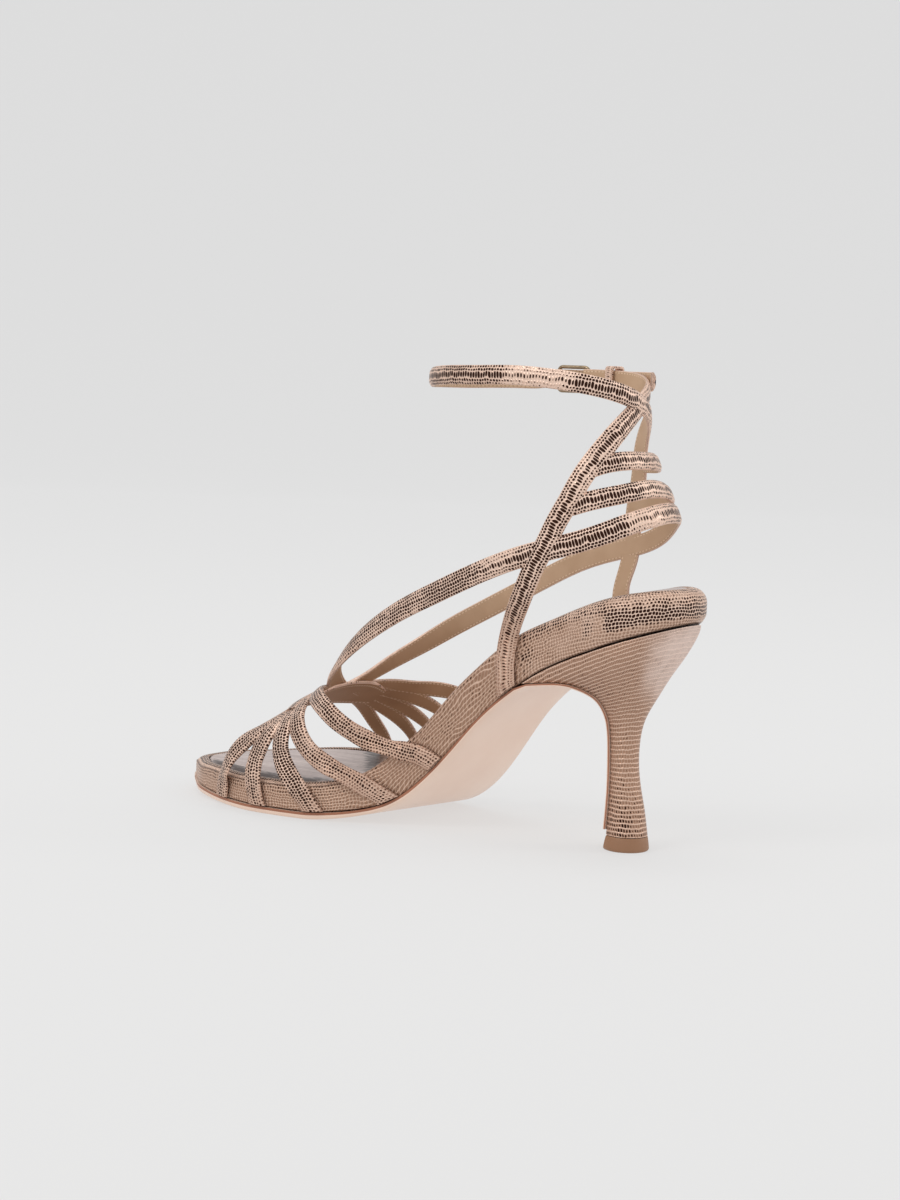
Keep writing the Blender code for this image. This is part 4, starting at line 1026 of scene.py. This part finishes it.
# Paint rows: share of the strap's length, painted dark reflection and painted shade
FAR_PAINT = ((0, 0.6, 0.5), (1, 0.6, 0.5))
FAN_STRAPS = {
    "inner_1": (
        INNER,
        ((0.392, 112), (0.380, 127), (0.343, 139), (0.300, 151), (0.252, 168)),
        ((0.174, 1.0), (0.166, 0.5), (0.164, 0.0)),
        ((0, 0.45, 0.6), (0.3, 0.65, 0.6), (0.55, 0.85, 0.4), (0.85, 0.8, 0.5), (1, 0.55, 0.8)),
    ),
    "inner_2": (
        INNER,
        ((0.392, 112), (0.380, 128), (0.354, 142), (0.332, 158), (0.310, 175)),
        ((0.245, 1.0), (0.247, 0.5), (0.255, 0.0)),
        ((0, 0.5, 0.6), (0.3, 0.7, 0.5), (0.6, 0.9, 0.4), (0.85, 0.75, 0.6), (1, 0.5, 0.8)),
    ),
    "inner_3": (
        INNER,
        ((0.394, 112), (0.386, 128), (0.380, 143), (0.376, 158), (0.371, 173)),
        ((0.331, 1.0), (0.349, 0.5), (0.366, 0.0)),
        ((0, 0.5, 0.5), (0.3, 0.85, 0.4), (0.6, 1.0, 0.3), (0.8, 0.8, 0.5), (1, 0.5, 0.8)),
    ),
    "inner_4": (
        INNER,
        ((0.398, 112), (0.401, 130), (0.408, 150), (0.415, 168), (0.424, 184)),
        ((0.424, 1.0), (0.455, 0.48), (0.488, 0.0)),
        ((0, 0.6, 0.4), (0.25, 0.85, 0.4), (0.5, 0.65, 0.6), (0.75, 0.5, 0.8), (1, 0.5, 0.8)),
    ),
    "inner_5": (
        INNER,
        ((0.410, 100), (0.430, 118), (0.452, 140), (0.470, 160), (0.483, 178), (0.495, 194)),
        ((0.494, 1.0), (0.523, 0.68), (0.548, 0.36), (0.571, 0.0)),
        ((0, 0.7, 0.4), (0.2, 1.0, 0.3), (0.4, 0.85, 0.5), (0.6, 0.65, 0.8), (1, 0.5, 0.85)),
    ),
    "outer_1": (
        OUTER,
        ((0.414, 78), (0.426, 62), (0.443, 46), (0.466, 27), (0.493, 11)),
        ((0.517, 1.0), (0.530, 0.5), (0.540, 0.0)),
        FAR_PAINT,
    ),
    "outer_2": (
        OUTER,
        ((0.404, 78), (0.411, 62), (0.424, 42), (0.451, 20)),
        ((0.452, 1.0), (0.462, 0.5), (0.470, 0.0)),
        FAR_PAINT,
    ),
    "outer_3": (
        OUTER,
        ((0.396, 78), (0.392, 60), (0.399, 40), (0.420, 18)),
        ((0.399, 1.0), (0.407, 0.5), (0.415, 0.0)),
        FAR_PAINT,
    ),
    "outer_4": (
        OUTER,
        ((0.389, 78), (0.373, 56), (0.372, 36), (0.389, 16)),
        ((0.339, 1.0), (0.344, 0.5), (0.349, 0.0)),
        FAR_PAINT,
    ),
    "outer_5": (
        OUTER,
        ((0.382, 80), (0.352, 56), (0.334, 36), (0.330, 17)),
        ((0.267, 1.0), (0.266, 0.5), (0.268, 0.0)),
        FAR_PAINT,
    ),
}
HUB_LIFT = 0.0002
HUB_THICK = STRAP_THICK * 1.35
HUB_PAINT = ((0, 0.5, 0.5), (1, 0.5, 0.5))
hub_widths = STRAP_WIDTH * np.array(HUB)[:, 2]
ribbon("hub_plate", on_last(HUB, HUB_LIFT), hub_widths, HUB_THICK, HUB_PAINT)
for key, (side, web, foot, paint) in FAN_STRAPS.items():
    points = joined(on_last(web), on_wall(side, foot))
    end = (side, foot[-1][0])
    ribbon(key + "_strap", points, FAN_WIDTH[side], thinned(web, foot), paint, end, FAN_TALL)

# Instep loop
# One long strap from the hub up the inner side, round the back of the heel and down the outer
# side to the hub again. It holds the foot back in the shoe.
SLING = (
    (0.402, 88), (0.440, 102), (0.486, 122), (0.534, 137), (0.582, 150), (0.628, 162),
    (0.668, 173.5), (0.706, 183), (0.740, 191), (0.766, 198), (0.792, 209), (0.813, 223),
    (0.828, 238), (0.837, 254), (0.841, 270), (0.839, 288), (0.829, 306), (0.809, 320),
    (0.786, 332), (0.762, 342), (0.733, 350), (0.700, 357), (0.664, 364.5), (0.617, 376),
    (0.570, 389), (0.525, 404), (0.480, 423), (0.438, 437), (0.402, 447),
)
# The loop's painted dark reflection and painted shade along its length
SLING_PAINT = (
    (0, 0.55, 0.6), (0.12, 0.75, 0.5), (0.20, 0.80, 0.35), (0.27, 0.9, 0.35), (0.33, 0.55, 0.3),
    (0.37, 1.05, 0.15), (0.44, 1.1, 0.15), (0.455, 0.45, 0.2), (0.49, 0.5, 0.3),
    (0.52, 0.8, 0.4), (0.6, 0.55, 0.5), (1, 0.5, 0.5),
)
SLING_TALL = ((0, 0.18), (0.28, 0.18), (0.33, 0.42), (1, 0.42))
ribbon("instep_loop", on_last(SLING), STRAP_WIDTH, STRAP_THICK, SLING_PAINT, tall=SLING_TALL)

# Inner riser
# The strap that stands on the inner side of the footbed, crosses over the instep loop and runs
# up the back of the leg, where it is stitched under the ankle strap.
INNER_RISER_WEB = (
    (0.730, 206.5), (0.760, 202.5), (0.787, 202.7), (0.812, 205.5), (0.838, 211.8),
    (0.863, 220.5), (0.886, 232.5), (0.907, 246.5), (0.927, 262), (0.944, 276), (0.957, 294),
    (0.965, 313), (0.969, 334), (0.970, 352), (0.970, 359),
)
INNER_RISER_FOOT = ((0.704, 0.97), (0.700, 0.5), (0.704, 0.0))
# The riser's painted dark reflection and painted shade along its length
RISER_PAINT = (
    (0, 0.40, 0.95), (0.12, 0.50, 0.9), (0.22, 0.85, 0.5), (0.33, 1.0, 0.25), (0.42, 0.75, 0.3),
    (0.5, 0.75, 0.2), (0.58, 0.80, 0.25), (0.7, 0.6, 0.4), (1, 0.5, 0.5),
)
INNER_RISER_LIFT = 0.0005
ribbon(
    "inner_riser_strap",
    joined(on_last(INNER_RISER_WEB[::-1], INNER_RISER_LIFT), on_wall(INNER, INNER_RISER_FOOT)),
    STRAP_WIDTH, thinned(INNER_RISER_WEB, INNER_RISER_FOOT), turned(RISER_PAINT),
    (INNER, INNER_RISER_FOOT[-1][0]),
)

# Ankle strap
# It stands on the outer side of the footbed as a riser, crosses behind the leg, runs round the
# ankle and through the buckle, and its tail is held by the keeper.
ANKLE_STRAP_WIDTH = 0.0070
OUTER_RISER_WEB = (
    (0.736, 324), (0.765, 333), (0.795, 337), (0.825, 336), (0.858, 330), (0.890, 321),
    (0.915, 308), (0.933, 290), (0.946, 272), (0.957, 252), (0.964, 232), (0.969, 211),
    (0.972, 190), (0.971, 170), (0.970, 150), (0.968, 130), (0.966, 110), (0.966, 92),
    (0.966, 74), (0.967, 54), (0.968, 34), (0.969, 20), (0.970, 16), (0.970, 13),
    (0.970, 10), (0.970, 7), (0.970, 3), (0.970, 0), (0.970, -3), (0.970, -6),
    (0.970, -10), (0.970, -15), (0.970, -22), (0.970, -34), (0.970, -47), (0.970, -60),
)
OUTER_RISER_FOOT = ((0.794, 0.97), (0.796, 0.5), (0.796, 0.0))
# Rows of (turn, lift in metres): over the inner riser, and over the buckle's rear bar
CROSSING_LIFT = (
    (330, 0.0), (308, 0.0004), (290, 0.0010), (272, 0.0012), (252, 0.0008), (232, 0.0002),
    (211, 0.0),
)
TAIL_LIFT = (
    (16, 0.0), (13, 0.0), (10, 0.0006), (7, 0.0021), (3, 0.0037), (0, 0.0042), (-3, 0.0042),
    (-6, 0.0037), (-10, 0.0027), (-15, 0.0024), (-60, 0.0024),
)
TAIL_FROM = 20
WIDE_POINTS = 10
# The ankle strap's painted dark reflection and painted shade along its length
ANKLE_PAINT = (
    (0, 0.5, 0.8), (0.3, 0.6, 0.4), (0.345, 0.55, 0.25), (0.38, 0.95, 0.2), (0.425, 0.95, 0.2),
    (0.445, 0.35, 0.1), (0.495, 0.35, 0.1), (0.515, 0.85, 0.45), (0.60, 0.85, 0.5),
    (0.7, 0.75, 0.4), (0.75, 0.5, 0.4), (1, 0.5, 0.4),
)
laid = np.array(OUTER_RISER_WEB[::-1])
tail_lift = np.interp(laid[:, 1], *np.array(sorted(TAIL_LIFT)).T)
crossing_lift = np.interp(laid[:, 1], *np.array(sorted(CROSSING_LIFT)).T)
ankle_lift = np.where(laid[:, 1] < TAIL_FROM, tail_lift, crossing_lift)
ankle_points = joined(on_last(laid, ankle_lift), on_wall(OUTER, OUTER_RISER_FOOT))
thicks = thinned(laid, OUTER_RISER_FOOT)
widths = [ANKLE_STRAP_WIDTH] * (len(thicks) - WIDE_POINTS) + [STRAP_WIDTH] * WIDE_POINTS
ribbon(
    "ankle_strap", ankle_points, widths, thicks, turned(ANKLE_PAINT), (OUTER, OUTER_RISER_FOOT[-1][0])
)

# Rungs
# Two short straps that run round the back of the heel like a ladder's rungs, each stitched at
# its ends under the risers.
RUNG_WIDTH = STRAP_WIDTH * 0.90
# Each has its web points and its paint: painted dark reflection and painted shade along it
RUNGS = {
    "upper": (
        (
            (0.873, 225), (0.880, 235), (0.885, 250), (0.886, 268), (0.884, 286), (0.880, 304),
            (0.876, 322),
        ),
        (
            (0, 1.0, 0.2), (0.2, 1.05, 0.15), (0.3, 0.6, 0.2), (0.42, 0.6, 0.2), (0.5, 0.65, 0.4),
            (1, 0.5, 0.5),
        ),
    ),
    "lower": (
        (
            (0.833, 212), (0.844, 223), (0.854, 240), (0.860, 258), (0.860, 276), (0.853, 294),
            (0.842, 314), (0.828, 334),
        ),
        (
            (0, 0.85, 0.3), (0.12, 1.05, 0.2), (0.3, 1.1, 0.15), (0.36, 0.65, 0.2), (0.46, 0.65, 0.2),
            (0.52, 0.7, 0.4), (1, 0.5, 0.5),
        ),
    ),
}
for key, (web, paint) in RUNGS.items():
    ribbon(key + "_rung", on_last(web), RUNG_WIDTH, STRAP_THICK, paint)

# Keeper
# A folded leather loop round the ankle strap, stitched shut behind it, which holds the tail of
# the strap down.
BUCKLE_AT = 0.970
KEEPER_TURN = -17.5
KEEPER_WIDTH = 0.0036
KEEPER_LEATHER = 0.0009
KEEPER_SCALE = 0.8
KEEPER_LOW = -0.1 * GAP
KEEPER_HIGH = GAP + 2 * STRAP_THICK + 0.0004 + 1.4 * GAP
# The loop's section: how far out through the leather, and how far along the strap
KEEPER_OUT = np.array([0, 0.7, 0.95, 1.0, 1.0, 1.0, 0.95, 0.7, 0, 0])
KEEPER_SIDE = np.array([-1, -1, -0.93, -0.75, 0.0, 0.75, 0.93, 1, 1, 0])


def at_buckle(turn, across, rise):
    """Points by the buckle: across up the ankle, and rise outward from the last."""
    base = last(BUCKLE_AT, turn) + last_normal(BUCKLE_AT, turn) * np.asarray(rise)[..., None]
    return base + np.asarray(across)[..., None] * np.array([0.0, 0.0, 1.0])


def metres_to_turn(turn):
    """Degrees of turn to each metre along the ankle at this turn, from a step of one degree."""
    return 1 / np.linalg.norm(last(BUCKLE_AT, turn + 0.5) - last(BUCKLE_AT, turn - 0.5))


def rounded_rectangle(half_long, half_across, corner, steps):
    """Points round a rectangle whose corners are quarter circles, from the right side."""
    angle = (np.arange(4)[:, None] + np.linspace(0, 1, steps + 1)) * np.pi / 2
    right = np.array([1, -1, -1, 1])[:, None]
    above = np.array([1, 1, -1, -1])[:, None]
    x = right * (half_long - corner) + corner * np.cos(angle)
    y = above * (half_across - corner) + corner * np.sin(angle)
    return x.ravel(), y.ravel()


keeper_half = KEEPER_WIDTH / 2 * metres_to_turn(KEEPER_TURN)
keeper_rise = (KEEPER_HIGH - KEEPER_LOW) / 2
keeper_across = ANKLE_STRAP_WIDTH / 2 + GAP * 3
rise_in, across_in = rounded_rectangle(keeper_rise, keeper_across, 0.0006, 6)
rise_out, across_out = rounded_rectangle(
    keeper_rise + KEEPER_LEATHER, keeper_across + KEEPER_LEATHER, 0.0015, 6
)
keeper_grid = at_buckle(
    KEEPER_TURN + keeper_half * KEEPER_SIDE,
    across_in[:, None] + (across_out - across_in)[:, None] * KEEPER_OUT,
    (KEEPER_HIGH + KEEPER_LOW) / 2 + rise_in[:, None] + (rise_out - rise_in)[:, None] * KEEPER_OUT,
)
keeper_run = lengths(np.concatenate([keeper_grid[:, 4], keeper_grid[:1, 4]])) / KEEPER_SCALE
keeper_flat = np.broadcast_arrays(keeper_run[:, None], np.linspace(0, 0.006, 11))
surface(
    "keeper_loop", keeper_grid, np.stack(keeper_flat, -1), (STRAP,), "keeper",
    paint={"dark_reflection": 0.45}, loop=True,
)

# Buckle
# A small frame bent from round wire and plated a dark gilt. The strap passes under its front
# bar and over its rear bar.
BUCKLE_WIRE = 0.0014
FRONT_BAR_TURN = 12.0
REAR_BAR_TURN = -2.0
PLATING_FIT = 0.98


def dark_gilt():
    """Plated metal, with patches of a fine noise a third darker."""
    metal = Finish("dark_gilt")
    wear = metal.noise(metal.place(), 900.0, 3.0).step(0.3, 0.8)
    return metal.close(metal.mix(wear, (0.36, 0.27, 0.18), (0.252, 0.189, 0.126)), 0.28, 1.0)


METAL = dark_gilt()


def wire(name, path, outward, radius, node, loop):
    """A circle of this radius carried along the path, square to it, with 16 sides."""
    if loop:
        ahead = np.roll(path, -1, 0) - np.roll(path, 1, 0)
        run = lengths(np.concatenate([path, path[:1]]))
    else:
        ahead = np.gradient(path, axis=0)
        run = lengths(path)
    ahead /= np.linalg.norm(ahead, axis=1, keepdims=True)
    up = outward - ahead * np.sum(outward * ahead, axis=1, keepdims=True)
    up /= np.linalg.norm(up, axis=1, keepdims=True)
    across = np.cross(ahead, up)
    angle = np.linspace(0, 2 * np.pi, 17)
    circle = np.cos(angle[:-1])[:, None] * across[:, None] + np.sin(angle[:-1])[:, None] * up[:, None]
    flat = np.stack(np.broadcast_arrays(run[:, None], radius * angle), -1)
    return surface(name, path[:, None] + radius * circle, flat, (METAL,), node, loop=loop)


wire_radius = BUCKLE_WIRE / 2
frame_rise = GAP + STRAP_THICK + GAP + wire_radius
half_turn = (FRONT_BAR_TURN - REAR_BAR_TURN) / 2
middle_turn = (FRONT_BAR_TURN + REAR_BAR_TURN) / 2
turn_rate = metres_to_turn(middle_turn)
ring_long, ring_across = rounded_rectangle(
    half_turn / turn_rate, ANKLE_STRAP_WIDTH / 2 + GAP + wire_radius, 0.0017, 8
)
ring_turn = middle_turn + turn_rate * ring_long
ring_path = at_buckle(ring_turn, ring_across, frame_rise + 0 * ring_turn)
ring_out = last_normal(BUCKLE_AT, ring_turn)
wire("buckle_ring", ring_path, ring_out, wire_radius * PLATING_FIT, "buckle_frame", True)

# Prong
# A thin wire pin on the frame's rear bar. It comes up through a hole in the strap and rests on
# the front bar.
PRONG_WIRE = 0.0010
PRONG_CLEAR = 0.0002
PRONG_PAST = 0.0008
PRONG_ROWS = 14
prong_radius = PRONG_WIRE / 2
prong_start = REAR_BAR_TURN + (wire_radius + GAP + PRONG_CLEAR) * turn_rate
prong_turn = np.linspace(prong_start, FRONT_BAR_TURN + PRONG_PAST * turn_rate, PRONG_ROWS)
prong_top = frame_rise + wire_radius + prong_radius + GAP * 1.4
prong_rise = np.linspace(frame_rise + 0.0001, prong_top, PRONG_ROWS)
prong_path = at_buckle(prong_turn, 0 * prong_turn, prong_rise)
prong_out = last_normal(BUCKLE_AT, prong_turn)
wire("prong_rod", prong_path, prong_out, prong_radius * PLATING_FIT, "buckle_prong", False)

# Studio
# A pale paper sweep under and behind the shoe, wide soft lamps, and the camera where the
# photographer stood: behind the shoe and on its inner side, a little above it.
CAMERA_TURN = math.radians(33.43)
CAMERA_RISE = math.radians(5.21)
CAMERA_ROLL = math.radians(2.26)
CAMERA_DISTANCE = 0.950
CAMERA_AIM = Vector((0.113523, 0.0, 0.08379))
CAMERA_LENS = 101.1
CAMERA_FILM = 36.0
CAMERA_SEES = 50.0
toward = Vector((
    math.sin(CAMERA_TURN) * math.cos(CAMERA_RISE),
    -math.cos(CAMERA_TURN) * math.cos(CAMERA_RISE),
    math.sin(CAMERA_RISE),
))
right = Vector((math.cos(CAMERA_TURN), math.sin(CAMERA_TURN), 0.0))
above = toward.cross(right)
rolled_right = right * math.cos(CAMERA_ROLL) + above * math.sin(CAMERA_ROLL)
rolled_up = above * math.cos(CAMERA_ROLL) - right * math.sin(CAMERA_ROLL)
stand = CAMERA_AIM + Vector(SHIFT) + toward * CAMERA_DISTANCE
camera = bpy.data.objects.new("camera", bpy.data.cameras.new("camera"))
camera.data.lens = CAMERA_LENS
camera.data.sensor_fit = "HORIZONTAL"
camera.data.sensor_width = CAMERA_FILM
camera.data.clip_end = CAMERA_SEES
camera.matrix_world = Matrix((
    (rolled_right.x, rolled_up.x, toward.x, stand.x),
    (rolled_right.y, rolled_up.y, toward.y, stand.y),
    (rolled_right.z, rolled_up.z, toward.z, stand.z),
    (0.0, 0.0, 0.0, 1.0),
))
scene = bpy.context.scene
scene.collection.objects.link(camera)
scene.camera = camera

# The paper lies flat, then turns up through a quarter circle
SWEEP_NEAR = -6.0
SWEEP_TURN = 2.2
SWEEP_ROUND = 1.2
SWEEP_HALF = 8.0
SWEEP_TOP = 6.0
away = Vector((-math.sin(CAMERA_TURN), math.cos(CAMERA_TURN), 0.0))
bend_angles = np.linspace(0.1, math.pi / 2, 16)
sweep_far = np.concatenate([
    [SWEEP_NEAR, SWEEP_TURN], SWEEP_TURN + SWEEP_ROUND * np.sin(bend_angles), [SWEEP_TURN + SWEEP_ROUND]
])
sweep_up = np.concatenate([[0.0, 0.0], SWEEP_ROUND * (1 - np.cos(bend_angles)), [SWEEP_TOP]])
sweep_line = sweep_far[:, None] * np.array(away) + sweep_up[:, None] * np.array([0.0, 0.0, 1.0])
sweep_sides = np.array([[-SWEEP_HALF], [SWEEP_HALF]]) * np.array(right)
sweep_points = (sweep_line[:, None] + sweep_sides).reshape(-1, 3)
row_start = 2 * np.arange(len(sweep_line) - 1)
sweep_faces = row_start[:, None] + np.array([0, 1, 3, 2])
sweep_mesh = bpy.data.meshes.new("sweep")
sweep_mesh.from_pydata(sweep_points.tolist(), [], sweep_faces.tolist())
sweep_mesh.shade_smooth()
paper = Finish("pale_paper")
paper.shader.inputs["Emission Color"].default_value = (1.0, 1.0, 1.0, 1.0)
paper.shader.inputs["Emission Strength"].default_value = 0.54
sweep_mesh.materials.append(paper.close((0.215, 0.215, 0.215), 0.9))
sweep = bpy.data.objects.new("sweep", sweep_mesh)
scene.collection.objects.link(sweep)
sweep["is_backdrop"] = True

world = bpy.data.worlds.new("studio")
world.use_nodes = True
sky = world.node_tree.nodes["Background"]
sky.inputs["Color"].default_value = (0.985, 0.985, 0.985, 1.0)
sky.inputs["Strength"].default_value = 0.80
scene.world = world

LAMP_TINT = (1.0, 0.98, 0.95)
LAMP_AIM = Vector((0, 0, 0.08))


def lamp(name, aside, nearer, high, size, power):
    """An area lamp aimed at the shoe: aside to the camera's right, nearer to it, and high."""
    data = bpy.data.lights.new(name, "AREA")
    data.shape = "RECTANGLE"
    data.size, data.size_y = size
    data.energy = power
    data.color = LAMP_TINT
    made = bpy.data.objects.new(name, data)
    spot = right * aside - away * nearer + Vector((0, 0, high))
    made.location = spot
    made.rotation_euler = (LAMP_AIM - spot).to_track_quat("-Z", "Y").to_euler()
    scene.collection.objects.link(made)


lamp("key", -0.9, 0.8, 1.2, (0.5, 0.7), 5.0)
lamp("side", 1.3, -0.1, 0.7, (0.4, 1.0), 3.0)
lamp("top", 0.0, -0.3, 1.6, (1.2, 0.5), 4.0)
scene.view_settings.view_transform = "Standard"
scene.view_settings.look = "None"

boxes = {"cad": cad_box, "visual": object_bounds()}
boxes = {key: [list(map(float, corner)) for corner in box] for key, box in boxes.items()}
